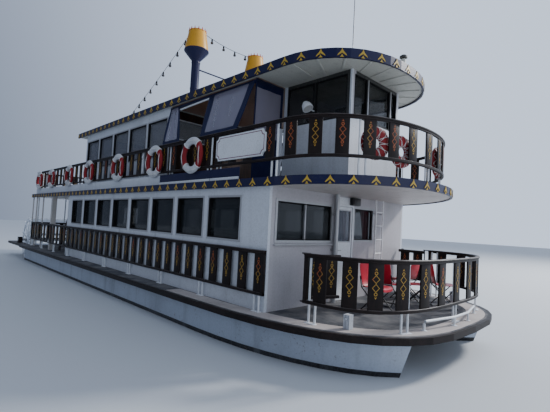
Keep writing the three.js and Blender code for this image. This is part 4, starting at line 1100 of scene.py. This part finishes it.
def make_side_frames():
    for deck, (windows, wall, zs) in GLAZING.items():
        for side, y in SIDES.items():
            made = Shape("aluminium", "rubber")
            half = windows["width"] / 2
            centres = [windows["first"] - half - i * windows["pitch"] for i in range(windows["count"])]
            places = [(x, y * wall, 0.0, 180.0 if y > 0 else 0.0) for x in centres]
            for finish, inside, rim, span in SIDE_RIMS:
                us = inset((-half, half), inside)
                window = Shape(finish).frame(finish, us, inset(zs, inside), span, rim)
                made.put(finish, window, places)
            made.piece(f"{deck}_window_frames_{side}", "grey_metal")


def make_front_frames():
    """Rims of the front windows, their middle bar, the door's casing and head board, and a sill."""
    made = Shape("aluminium", "rubber", "trim")
    turn = front_turn(CABIN["front"])
    for ys, zs in FRONT_OPENINGS:
        for finish, inside, rim, span in FRONT_RIMS:
            made.frame(finish, inset(ys, inside), inset(zs, inside), span, rim, turn)
    made.box("aluminium", (7.756, 7.79), (-1.4, -1.365), (2.28, 2.98), 0.003)
    made.frame("trim", (-0.47, 0.11), (1.13, 3.0), (0.0003, 0.016), 0.04, turn)
    made.box("trim", (7.8003, 7.816), (-0.51, 0.15), (3.04, 3.19), 0.004)
    made.box("aluminium", (7.8, 7.86), (-2.21, -0.56), (2.2, 2.222), 0.004)
    made.piece("front_window_frames", "grey_metal")


def make_helm_frames():
    """Dark rims of the wheelhouse's panes, and the bars between them."""
    made = Shape("rubber", "aluminium")
    zs, span, rim, inside = inset((HELM["sill"], HELM["head"]), 0.008), (-0.045, 0.004), 0.016, 0.008
    for ys in HELM_PANES:
        made.frame("rubber", inset(ys, inside), zs, span, rim, front_turn(HELM["front"]))
    for y in (-0.33, 0.54):
        made.box("aluminium", (8.351, 8.364), (y - 0.018, y + 0.018), HELM_BAR_HEIGHT, 0.003)
    for y in SIDES.values():
        for xs in HELM_SIDE_PANES:
            made.frame("rubber", inset(xs, inside), zs, span, rim, side_turn(y, HELM["half"]))
        made.box("rubber", (7.443, 7.457), mirrored(y, 0.891, 0.902), HELM_BAR_HEIGHT, 0.003)
    made.piece("wheelhouse_window_frames", "grey_metal")


make_side_frames()
make_front_frames()
make_helm_frames()


# Doors: a painted leaf round a pane of glass, with its handle
# columns: outer face, inner face, y from, y to, z from, z to, sill of the pane, handle y and z
DOORS = {
    "front_door": (7.8, 7.76, -0.464, 0.104, 1.136, 2.994, 2.271, -0.42, 2.1),
    "aft_door": (-2.75, -2.7, -0.374, 0.374, 1.136, 2.994, 2.271, -0.31, 2.1),
    "upper_door": (-3.1, -3.06, 0.306, 0.994, 3.366, 5.279, 4.25, 0.37, 4.3),
    "wheelhouse_door": (6.6, 6.64, -0.314, 0.314, 3.366, 5.294, 4.35, -0.25, 4.3),
}


def make_doors():
    turn = front_turn(0)
    for name, (face, back, y0, y1, z0, z1, sill, handle, level) in DOORS.items():
        made = Shape("trim", "aluminium", "upper_glass")
        pane = ((y0 + 0.09, y1 - 0.05), (sill, z1 - 0.07))
        made.prism("trim", rectangle((y0, y1), (z0, z1)), sorted((face, back)), turn, hole=rectangle(*pane))
        middle, out = (face + back) / 2, 1 if face > back else -1
        glass = rectangle(*[inset(span, -0.005) for span in pane])
        made.prism("upper_glass", glass, (middle - 0.004, middle + 0.004), turn)
        bead = sorted((middle + out * 0.005, face + out * 0.006))
        made.frame("aluminium", *[inset(span, 0.012) for span in pane], bead, 0.024, turn)
        made.box("aluminium", sorted((face, face + out * 0.006)), (handle - 0.022, handle + 0.022),
                 (level - 0.09, level + 0.09), 0.002)
        inward = 1 if handle < (y0 + y1) / 2 else -1
        lever = [(0.004, 0.0), (0.045, 0.0), (0.052, 0.02), (0.052, 0.11)]
        path = [(face + out * ahead, handle + inward * across, level) for ahead, across in lever]
        made.tube("aluminium", path, 0.009, 10)
        made.piece(f"{name}_leaf", "white_paint", [name], body=name)


make_doors()


# Funnels with their crowns of spikes, as profiles of radius and height
SHAFT = [(0, 5.6605), (0.175, 5.6605), (0.18, 5.668), (0.18, 5.69), (0.172, 5.7), (0.122, 5.702),
         (0.117, 5.72), (0.117, 7.0), (0.125, 7.02), (0.335, 7.27), (0.345, 7.29), (0.34, 7.31), (0, 7.31)]
BUCKET = [(0, 7.3), (0.335, 7.3), (0.333, 7.33), (0.243, 7.83), (0.25, 7.84), (0.25, 7.852), (0.228, 7.855),
          (0.222, 7.84), (0.22, 7.79), (0, 7.78)]
SPIKE = [(0, 7.82), (0.022, 7.825), (0.02, 7.85), (0.004, 7.925), (0, 7.928)]
SPIKES = {"count": 14, "radius": 0.234}
HOOPS = {"heights": (6.2, 6.95), "inner": 0.1, "outer": 0.124, "height": 0.03}


def make_funnels():
    """Two funnels with two hoops each, tied to one another by a tube."""
    made = Shape("navy", "yellow", "spike")
    spike = Shape("spike").lathe("spike", SPIKE, Matrix.Translation((SPIKES["radius"], 0, 0)), 8)
    crown = grown(RING, [(0, 0, 0)], spike, "spike", Count=SPIKES["count"], Turn=(0, 0, 2 * math.pi))
    inner, outer = HOOPS["inner"], HOOPS["outer"]
    for y in SIDES.values():
        place = Matrix.Translation((STACK["x"], y * STACK["y"], 0))
        made.lathe("navy", SHAFT, place, 40)
        made.lathe("yellow", BUCKET, place, 40)
        made.take("spike", crown.copy(), place)
        for low in HOOPS["heights"]:
            high = low + HOOPS["height"]
            hoop = [*rectangle((inner, outer), (low, high)), (inner, low)]
            made.lathe("navy", hoop, place, 40)
    tie = [(STACK["x"], y * STACK["y"], STACK["tie"]) for y in (-1, 1)]
    made.tube("navy", tie, 0.02)
    made.piece("funnels", "stack_paint", ["stacks"])


make_funnels()


# Lifebuoys with their grab ropes
def buoy_ring(white, ring=BUOY["ring"], tube=BUOY["tube"]):
    """The white quarters at top and bottom, or the red ones at the sides."""
    finish = "buoy_white" if white else "buoy_red"
    made = Shape(finish)
    section = [(BUOY["thick"] * math.cos(t), tube * math.sin(t)) for t in full_turn(12)]
    for middle in ((90, 270) if white else (0, 180)):
        angles = [math.radians(middle - 45 + i * 9) for i in range(11)]
        verts = [((ring + v) * math.cos(a), u, (ring + v) * math.sin(a)) for a in angles for u, v in section]
        made.rings(finish, verts, len(section))
    return made


def buoy_rope():
    """A grab rope that hangs off four points of the ring, with a lashing at each."""
    made = Shape("rope")
    points = []
    for turn in full_turn(48):
        angle = turn + math.pi / 4
        swing = abs(math.sin(2 * turn))
        radius = BUOY["ring"] + 0.07 - 0.06 * swing
        drop = -0.02 * swing * (1 if math.sin(angle) > 0 else 0.3)
        points.append((radius * math.cos(angle), -0.05 * swing - 0.012, radius * math.sin(angle) + drop))
    made.tube("rope", points, 0.008, 6, closed=True)
    for quarter in (45, 135, 225, 315):
        angle = math.radians(quarter)
        out = Vector((math.cos(angle), 0, math.sin(angle)))
        lashing = [out * (BUOY["ring"] + 0.084 * math.cos(t)) + Vector((0, 0.053 * math.sin(t), 0))
                   for t in full_turn(16)]
        made.tube("rope", lashing, 0.012, 6, closed=True)
    return made


def make_lifebuoys():
    """A row of lifebuoys along each upper rail, hung on a rod."""
    for side, y in SIDES.items():
        places = [(x, y * BUOY["y"], BUOY["z"], 0.0) for x in BUOY_X]
        made = Shape("buoy_red", "buoy_white", "rope", "rail")
        made.put("buoy_red", buoy_ring(False), places)
        made.put("buoy_white", buoy_ring(True), places)
        made.put("rope", buoy_rope(), places)
        made.tube("rail", [(x, y * BUOY["rod_y"], BUOY["rod_z"]) for x in (BUOY_X[-1], BUOY_X[0])], 0.014, 8)
        made.piece(f"lifebuoys_{side}_rings", "buoy_skin", [f"lifebuoys_{side}"])


# Smaller red buoys that hang inside the upper front rail: places along it and heights, and their size
BOW_BUOYS = {"places": [(3.62, 3.93), (4.22, 3.85), (5.7, 3.9), (6.4, 3.93)], "inside": 0.1, "ring": 0.18,
             "tube": 0.1}


def net_rope():
    """White cords that zigzag round a red buoy."""
    ring, tube = BOW_BUOYS["ring"], BOW_BUOYS["tube"]
    made = Shape("rope")
    for start in (0, math.pi):
        points = []
        for angle in full_turn(60):
            wave = 1.4 * math.sin(5 * angle + start)
            radius = ring + (tube + 0.004) * math.sin(wave)
            points.append((radius * math.cos(angle), -(BUOY["thick"] + 0.004) * math.cos(wave),
                           radius * math.sin(angle)))
        made.tube("rope", points, 0.005, 6, closed=True)
    return made


def make_bow_buoys():
    made = Shape("buoy_red", "rope")
    size = (BOW_BUOYS["ring"], BOW_BUOYS["tube"])
    shapes = [("buoy_red", buoy_ring(False, *size)), ("buoy_red", buoy_ring(True, *size)),
              ("rope", net_rope())]
    parts = [(finish, put_at([(0, 0, 0, 0)], part, finish)) for finish, part in shapes]
    for distance, z in BOW_BUOYS["places"]:
        x, y, turn = point_along(upper_front_line(), distance)
        place = (Matrix.Translation((x, y, z + rise(x))) @ Matrix.Rotation(math.radians(turn), 4, "Z")
                 @ Matrix.Translation((0, BOW_BUOYS["inside"], 0)))
        for finish, mesh in parts:
            made.take(finish, mesh.copy(), place)
    made.piece("bow_lifebuoys", "buoy_skin")


make_lifebuoys()
make_bow_buoys()


# Paddle wheel, drawn round its own centre and then put in place
PADDLE = {"arms": 10, "inner": 0.87, "outer": 0.985, "board": (0.83, 1.05), "rims": (-2.14, 0.0, 2.14),
          "axle": 2.54, "bolts": (0.11, 0.87, 1.0)}
# Profiles of radius and height
HUB = [(0, -0.05), (0.1, -0.05), (0.11, -0.024), (0.15, -0.02), (0.15, 0.02), (0.11, 0.024), (0.1, 0.05),
       (0, 0.05)]
BOLT = [(0, -0.03), (0.014, -0.03), (0.014, 0.008), (0, 0.008)]


def make_paddle_wheel():
    """Three rims on one axle, with bolted spokes and a split plank at the end of each."""
    made = Shape("wheel", "steel")
    across = Matrix.Rotation(math.pi / 2, 4, "X")
    axle, inner, outer = PADDLE["axle"], PADDLE["inner"], PADDLE["outer"]
    made.lathe("steel", [(0, -axle), (0.06, -axle), (0.06, axle), (0, axle)], across, 24)
    rim = [(inner, -0.02), (outer - 0.008, -0.02), (outer, -0.012), (outer, 0.012), (outer - 0.008, 0.02),
           (inner, 0.02), (inner, -0.02)]
    spoke = Shape("wheel")
    for y in PADDLE["rims"]:
        place = Matrix.Translation((0, y, 0)) @ across
        made.lathe("wheel", HUB, place, 24).lathe("wheel", rim, place, 60)
        spoke.box("wheel", (-0.055, 0.055), (y - 0.015, y + 0.015), (0.08, inner + 0.02), 0.004)
        for z in PADDLE["bolts"]:
            spoke.lathe("wheel", BOLT, Matrix.Translation((0.0, y - 0.02, z)) @ across, 6)
    plank = Shape("wheel")
    low, high = PADDLE["board"]
    middle = (low + high) / 2
    for zs in ((low, middle - 0.002), (middle + 0.002, high)):
        plank.box("wheel", (-0.014, 0.014), (-WHEEL["half"], WHEEL["half"]), zs, 0.004)
    for ys in ((-2.18, -2.1), (2.1, 2.18)):
        plank.box("wheel", (-0.02, 0.02), ys, inset(PADDLE["board"], 0.01), 0.004)
    for part in (spoke, plank):
        made.take("wheel", grown(RING, [(0, 0, 0)], part, "wheel", Count=PADDLE["arms"],
                                 Turn=(0, 2 * math.pi, 0)))
    made.moved(lambda p: p + Vector((WHEEL["x"], 0, WHEEL["z"])))
    made.piece("paddle_wheel_detail", "wheel_paint", ["paddle_wheel"], body="paddle_wheel")


make_paddle_wheel()


# Foredeck chairs and the tube hoop. Columns: x, y, turn in degrees
CHAIRS = [(8.8, -0.47, 0), (9.0, 0.62, 20), (9.36, 1.14, 35), (8.45, 1.25, 180), (8.612, 0.23, 90)]
# From the seat's front edge to the back's top. Columns: x, z, half width
CHAIR_SHELL = [(0.215, 0.385, 0.15), (0.21, 0.42, 0.17), (0.18, 0.44, 0.195), (0.1, 0.443, 0.2),
               (-0.1, 0.432, 0.2), (-0.17, 0.44, 0.195), (-0.2, 0.47, 0.185), (-0.22, 0.56, 0.19),
               (-0.245, 0.7, 0.2), (-0.268, 0.82, 0.19), (-0.274, 0.86, 0.15)]
CHAIR_FOOT = 0.205


def chair_shell():
    """A moulded seat and back in one bent sheet with rounded corners."""
    made = Shape("red")
    steps = [-1.0, -0.9, -0.5, 0.0, 0.5, 0.9, 1.0]
    verts = []
    for x, z, width in CHAIR_SHELL:
        back, seat = 0.02 * (z > 0.5), 0.012 * (z < 0.5)
        verts += [(x - back * (1 - s * s), s * width, z - seat * (1 - s * s)) for s in steps]
    made.add("red", verts, grid_faces(len(CHAIR_SHELL), len(steps)))
    bmesh.ops.solidify(made.mesh, geom=list(made.mesh.faces), thickness=0.012)
    return made


def chair_legs():
    made = Shape("black")
    for y in (-CHAIR_FOOT, CHAIR_FOOT):
        made.tube("black", [(-CHAIR_FOOT, y, 0.012), (0.2, y, 0.425)], 0.011, 8)
        made.tube("black", [(CHAIR_FOOT, y, 0.012), (-0.2, y, 0.425), (-0.235, y, 0.62)], 0.011, 8)
    for x in (-CHAIR_FOOT, CHAIR_FOOT):
        made.tube("black", [(x, -CHAIR_FOOT, 0.013), (x, CHAIR_FOOT, 0.013)], 0.011, 8)
        made.tube("black", [(x * 0.97, -CHAIR_FOOT, 0.42), (x * 0.97, CHAIR_FOOT, 0.42)], 0.009, 8)
    return made


def make_chairs():
    places = [(x, y, DECK_TOP + GAP, turn) for x, y, turn in CHAIRS]
    made = Shape("red", "black").put("red", chair_shell(), places).put("black", chair_legs(), places)
    made.piece("foredeck_chairs", "chair_red", [f"chair_{i + 1}" for i in range(len(CHAIRS))])


def make_hoop():
    """A low tube round the bow, on two end legs and two middle ones, each with a round foot plate."""
    foot, top = DECK_TOP + GAP, 1.22
    ends, middles = [(9.955, -1.06), (9.955, 1.06)], [(10.11, -0.3), (10.11, 0.3)]
    made = Shape("trim")
    bends = [(9.961, -1.03, top), *[(*point, top) for point in middles], (9.961, 1.03, top)]
    made.tube("trim", [(*ends[0], foot), (*ends[0], top - 0.03), *bends, (*ends[1], top - 0.03),
                       (*ends[1], foot)], 0.02, 12)
    for point in middles:
        made.tube("trim", [(*point, foot), (*point, top)], 0.016, 12)
    plate = [(0, foot), (0.045, foot), (0.045, 1.09), (0, 1.09)]
    for point in (*ends, *middles):
        made.lathe("trim", plate, Matrix.Translation((*point, 0)), 16)
    made.piece("bow_tube_rail", "white_paint", ["bow_rail"])


make_chairs()
make_hoop()


# Searchlight on its arm
def make_searchlight():
    """A round lamp on a bent arm, aimed forwards and down."""
    made = Shape("trim", "lamp")
    arm = [(7.45, -0.8905, 4.9), (7.45, -0.94, 4.9), (7.45, -1.0, 4.93), (7.45, -1.05, 4.95)]
    made.tube("trim", arm, 0.016)
    aim = Matrix.Translation((7.45, -1.12, 4.95)) @ Matrix.Rotation(math.radians(148), 4, "Y")
    made.lathe("trim", [(0, -0.09), (0.05, -0.085), (0.09, -0.03), (0.108, 0.04), (0.11, 0.075), (0.1, 0.08),
                        (0.1, 0.06), (0, 0.055)], aim, 28)
    made.lathe("lamp", [(0, 0.056), (0.099, 0.062), (0.095, 0.072), (0, 0.078)], aim, 28)
    made.piece("searchlight_head", "white_paint", ["searchlight"])


make_searchlight()


# Curtains of the open bay: navy cloth round clear windows
# columns: x aft and front at the top, x aft and front at the foot, width of the cloth edge
CURTAINS = [(BAY_AFT, 3.6, 3.64, 4.47, 0.1), (4.95, BAY_FRONT, 5.3, BAY_FRONT, 0.17)]
CURTAIN_TOP, CURTAIN_FOOT = 5.51, 4.33
# How far off the middle the curtains hang, at their top and foot, and how deep they ripple
CURTAIN_OUT_TOP, CURTAIN_OUT_FOOT, RIPPLE = 1.7275, 2.1875, 0.012
BAY_FLOOR = 3.37


def curtain_point(y, corners, u, v):
    """u runs forwards and v upwards, both from 0 to 1."""
    top_aft, top_front, foot_aft, foot_front = corners
    x = (foot_aft + (foot_front - foot_aft) * u) * (1 - v) + (top_aft + (top_front - top_aft) * u) * v
    z = CURTAIN_FOOT + (CURTAIN_TOP - CURTAIN_FOOT) * v
    wave = RIPPLE * math.sin(u * 17 + v * 3) * math.sin(math.pi * v)
    return (x, y * (CURTAIN_OUT_FOOT + (CURTAIN_OUT_TOP - CURTAIN_OUT_FOOT) * v + wave), z)


def cloth_sheet(name, grid, window=None, finish="canvas"):
    """A thin sheet from a grid of points, with UVs in metres. A window is the clear share of it: from and to
    along its rows, then from and to along its columns."""
    rows, columns = len(grid), len(grid[0])
    data = bpy.data.meshes.new(name)
    faces = grid_faces(rows, columns)
    data.from_pydata([p for row in grid for p in row], [], faces)
    for look in (finish, "clear") if window else (finish,):
        data.materials.append(LOOKS[look])
    layer = data.uv_layers.new(name="cloth")
    width, height = math.dist(grid[0][0], grid[0][-1]), math.dist(grid[0][0], grid[-1][0])
    for polygon, face in zip(data.polygons, faces):
        row, column = divmod(face[0], columns)
        u, v = column / (columns - 1), row / (rows - 1)
        clear = window and window[0] < u < window[1] and window[2] < v < window[3]
        polygon.material_index = 1 if clear else 0
        polygon.use_smooth = True
        for loop in polygon.loop_indices:
            row, column = divmod(data.loops[loop].vertex_index, columns)
            layer.data[loop].uv = (column / (columns - 1) * width, row / (rows - 1) * height)
    made = bpy.data.objects.new(name, data)
    bpy.context.scene.collection.objects.link(made)
    thick = made.modifiers.new("thickness", "SOLIDIFY")
    thick.thickness = 0.003
    thick.offset = 0
    return made


def make_curtains():
    for side, y in SIDES.items():
        for number, (*corners, edge) in enumerate(CURTAINS):
            grid = [[curtain_point(y, corners, c / 40, r / 24) for c in range(41)] for r in range(25)]
            width = max(corners[1] - corners[0], corners[3] - corners[2])
            share = edge / width
            sheet = cloth_sheet(f"curtain_{side}_{number + 1}", grid, (share, 1 - share * 1.4, 0.12, 0.93))
            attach(sheet, "boat")
        make_bay_front(side, y)
        make_curtain_roll(side, y)
        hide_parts(f"canvas_{side}")


def make_bay_front(side, y):
    """The fixed panel that closes the bay's front, from the wheelhouse to the cabin's side."""
    grid = []
    for r in range(25):
        z = BAY_FLOOR + (5.55 - BAY_FLOOR) * r / 24
        row = [(6.5725 + 0.006 * math.sin(c * 0.7 + r * 0.3), y * (0.915 + 0.82 * c / 20), z)
               for c in range(21)]
        grid.append(row)
    sheet = cloth_sheet(f"bay_front_{side}", grid, (0.06, 0.94, 0.42, 0.9))
    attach(sheet, "boat")


def make_curtain_roll(side, y):
    """The strip that the curtains hang from, and the rolled curtain's pale batten."""
    made = Shape("navy", "trim")
    made.box("navy", (BAY_AFT, BAY_FRONT), mirrored(y, 1.716, 1.739), (5.44, CURTAIN_TOP), 0.004)
    made.tube("trim", [(3.55, y * 1.75, 5.38), (4.95, y * 1.75, 5.42)], 0.022, 12)
    made.box("white", (6.582, 6.599), mirrored(y, 0.905, 1.04), (3.36, 4.64), 0.003)
    made.piece(f"curtain_batten_{side}", "navy_paint")


def make_bulkhead():
    """The panelled wall between the open bay and the cabin, with a window to each side of its door."""
    made = Shape("panel", "upper_glass", "trim")
    turn, wall = front_turn(BAY_AFT), (BAY_FLOOR, 5.5)
    for ys in ((-1.71, -0.42), (0.42, 1.71)):
        window = (inset(ys, 0.2), (4.75, 5.25))
        made.prism("panel", rectangle(ys, wall), (-0.03, 0.0), turn, hole=rectangle(*window))
        made.prism("upper_glass", rectangle(*window), (-0.02, -0.014), turn)
        made.frame("trim", *window, (-0.035, 0.006), 0.03, turn)
    made.prism("panel", rectangle((-0.418, 0.418), wall), (-0.026, -0.004), turn)
    for zs in ((3.5, 4.2), (4.35, 5.3)):
        made.frame("panel", (-0.33, 0.33), zs, (-0.006, 0.004), 0.05, turn)
    made.piece("bay_bulkhead", "brown_board")


make_curtains()
make_bulkhead()


# Red curtains behind the front windows. Columns: y from, y to, y that the foot is drawn towards
WINDOW_CURTAINS = {
    "window_curtain_1": (0.19, 0.4, 0.2),
    "window_curtain_2": (0.5, 0.92, 0.9),
    "door_curtain_1": (-0.39, -0.22, -0.37),
    "door_curtain_2": (-0.12, 0.03, 0.02),
}


WINDOW_CLOTH = {"x": 7.69, "fold": 0.018, "foot": 2.26, "height": 0.78, "drawn": 0.55}


def make_window_curtain(name, y0, y1, sweep_to):
    """A folded curtain, straight at its top and drawn aside more and more towards its foot."""
    grid = []
    for r in range(17):
        v = r / 16
        pull = (1 - v) ** 0.6 * WINDOW_CLOTH["drawn"]
        z = WINDOW_CLOTH["foot"] + WINDOW_CLOTH["height"] * v
        row = []
        for c in range(33):
            u = c / 32
            x = WINDOW_CLOTH["x"] + WINDOW_CLOTH["fold"] * math.sin(u * 26)
            y = y0 + (y1 - y0) * u
            row.append((x, y + (sweep_to - y) * pull, z))
        grid.append(row)
    sheet = cloth_sheet(name, grid, finish="curtain")
    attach(sheet, "boat")


for curtain_name, hang in WINDOW_CURTAINS.items():
    make_window_curtain(curtain_name, *hang)


# Strings of lamps from the funnel tops
# columns: start, end, sag, lamps
STRINGS = [((3.0, -1.2, 7.84), (-3.6, -0.7, 5.7), 0.14, 14),
           ((3.28, -0.9, 7.84), (3.12, 0.9, 7.84), 0.07, 4)]
STRING_STEPS = 24
# Profiles of radius and height
SOCKET = [(0, 0.0), (0.02, 0.0), (0.026, -0.06), (0, -0.062)]
BULB = [(0, -0.055), (0.02, -0.065), (0.044, -0.105), (0.038, -0.14), (0, -0.155)]


def string_line(start, end, sag):
    start, end = Vector(start), Vector(end)
    shares = [i / STRING_STEPS for i in range(STRING_STEPS + 1)]
    return [start.lerp(end, share) - Vector((0, 0, 4 * sag * share * (1 - share))) for share in shares]


def make_lamp_strings():
    made = Shape("rubber", "bulb")
    places = []
    for start, end, sag, count in STRINGS:
        line = string_line(start, end, sag)
        made.tube("rubber", line, 0.007, 6)
        for i in range(count):
            step, part = divmod((i + 0.6) / count * STRING_STEPS, 1)
            places.append((*line[int(step)].lerp(line[int(step) + 1], part), 0.0))
    made.put("rubber", Shape("rubber").lathe("rubber", SOCKET, sides=10), places)
    made.put("bulb", Shape("bulb").lathe("bulb", BULB, sides=12), places)
    made.piece("lamp_strings", "black_paint")


make_lamp_strings()


# Small fittings
def make_front_fittings():
    """A speaker over the front door, and the brackets that hold the pipe and the ladder."""
    made = Shape("black", "aluminium", "trim")
    made.box("black", (7.818, 7.9), (-0.02, 0.27), (3.04, 3.2), 0.006)
    made.box("black", (7.9, 7.915), (0.0, 0.25), (3.06, 3.18), 0.004)
    for z in (1.5, 2.1, 2.8):
        made.box("aluminium", (7.8005, 7.84), (-0.6, -0.48), (z, z + 0.03), 0.003)
    for z in (1.5, 2.9):
        for y in (0.93, 1.23):
            made.box("trim", (7.8005, 7.885), (y - 0.012, y + 0.012), (z, z + 0.024), 0.003)
    made.piece("front_fittings", "black_paint")


def make_console_dials():
    """A row of round dials on the console's sloping face."""
    made = Shape("black", "lamp", "trim")
    bezel = [(0, 0), (0.06, 0), (0.06, 0.014), (0.052, 0.014), (0.05, 0.008), (0, 0.008)]
    pane = [(0, 0.0085), (0.049, 0.0085), (0.048, 0.011), (0, 0.011)]
    slope = Vector((0.2, 0, 0.3)).normalized()
    normal = Vector((-slope.z, 0, slope.x))
    for y in (-0.4, -0.2, 0.0, 0.2, 0.4):
        centre = Vector((7.85, y, 4.3)) + normal * 0.002
        turn = Matrix.Translation(centre) @ normal.to_track_quat("Z", "Y").to_matrix().to_4x4()
        made.lathe("black", bezel, turn, 24).lathe("lamp", pane, turn, 24)
    made.piece("console_dials", "black_paint")


def make_deck_margin():
    """The smooth pale border of the ribbed deck, along its curved front."""
    made = Shape("margin")
    line = [(5.2, -2.54), *front_curve("deck", -0.2), (5.2, 2.54)]
    made.sweep("margin", rounded(0.32, 0.003, 0.001), [(x, y, DECK_TOP + 0.0018) for x, y in line])
    made.piece("deck_margin", "deck_coat")


make_front_fittings()
make_console_dials()
make_deck_margin()


# Stage: a pale floor at the waterline and soft studio light
FLOOR = {"half": 90, "colour": (0.5, 0.52, 0.54), "roughness": 0.8}


def make_stage():
    mesh = bpy.data.meshes.new("floor")
    spans = (-FLOOR["half"], FLOOR["half"])
    corners = [(x, y, WATERLINE) for x, y in rectangle(spans, spans)]
    mesh.from_pydata(corners, [], [(0, 1, 2, 3)])
    floor = bpy.data.objects.new("floor", mesh)
    bpy.context.scene.collection.objects.link(floor)
    material, tree, shader, _ = new_material("floor_plain")
    feed(tree, shader, {}, {"Base Color": rgba(FLOOR["colour"]), "Roughness": FLOOR["roughness"]})
    mesh.materials.append(material)


# columns: name, place, where it looks, size, power
LIGHTS = [
    ("key", (20.0, 27.0, 23.0), (8.0, 0.0, 2.0), 6.0, 16000.0),
    ("bow", (30.0, -2.0, 6.0), (8.0, 0.0, 2.5), 12.0, 500.0),
    ("fill", (4.0, -20.0, 9.0), (3.0, 0.0, 2.5), 14.0, 250.0),
]
# Sky colours away from and towards the bright side, and the way that side lies
SKY = {"dim": (0.15, 0.19, 0.28, 1), "bright": (0.85, 0.99, 1.24, 1), "towards": (0.42, 0.82, 0.3)}


def make_lights():
    for name, place, aim, size, power in LIGHTS:
        data = bpy.data.lights.new(name, "AREA")
        data.shape = "DISK"
        data.size = size
        data.energy = power
        lamp = bpy.data.objects.new(name, data)
        bpy.context.scene.collection.objects.link(lamp)
        lamp.location = place
        lamp.rotation_euler = (Vector(aim) - Vector(place)).to_track_quat("-Z", "Y").to_euler()
    world = bpy.data.worlds.new("studio")
    bpy.context.scene.world = world
    world.use_nodes = True
    tree = world.node_tree
    way = wire(tree, "ShaderNodeTexCoord").outputs["Generated"]
    side = wire(tree, "ShaderNodeVectorMath", {0: way, 1: SKY["towards"]}, operation="DOT_PRODUCT")
    shade = mix(tree, ramp(tree, side.outputs["Value"], -0.6, 0.6), SKY["dim"], SKY["bright"])
    tree.links.new(shade, tree.nodes["Background"].inputs["Color"])


make_stage()
make_lights()
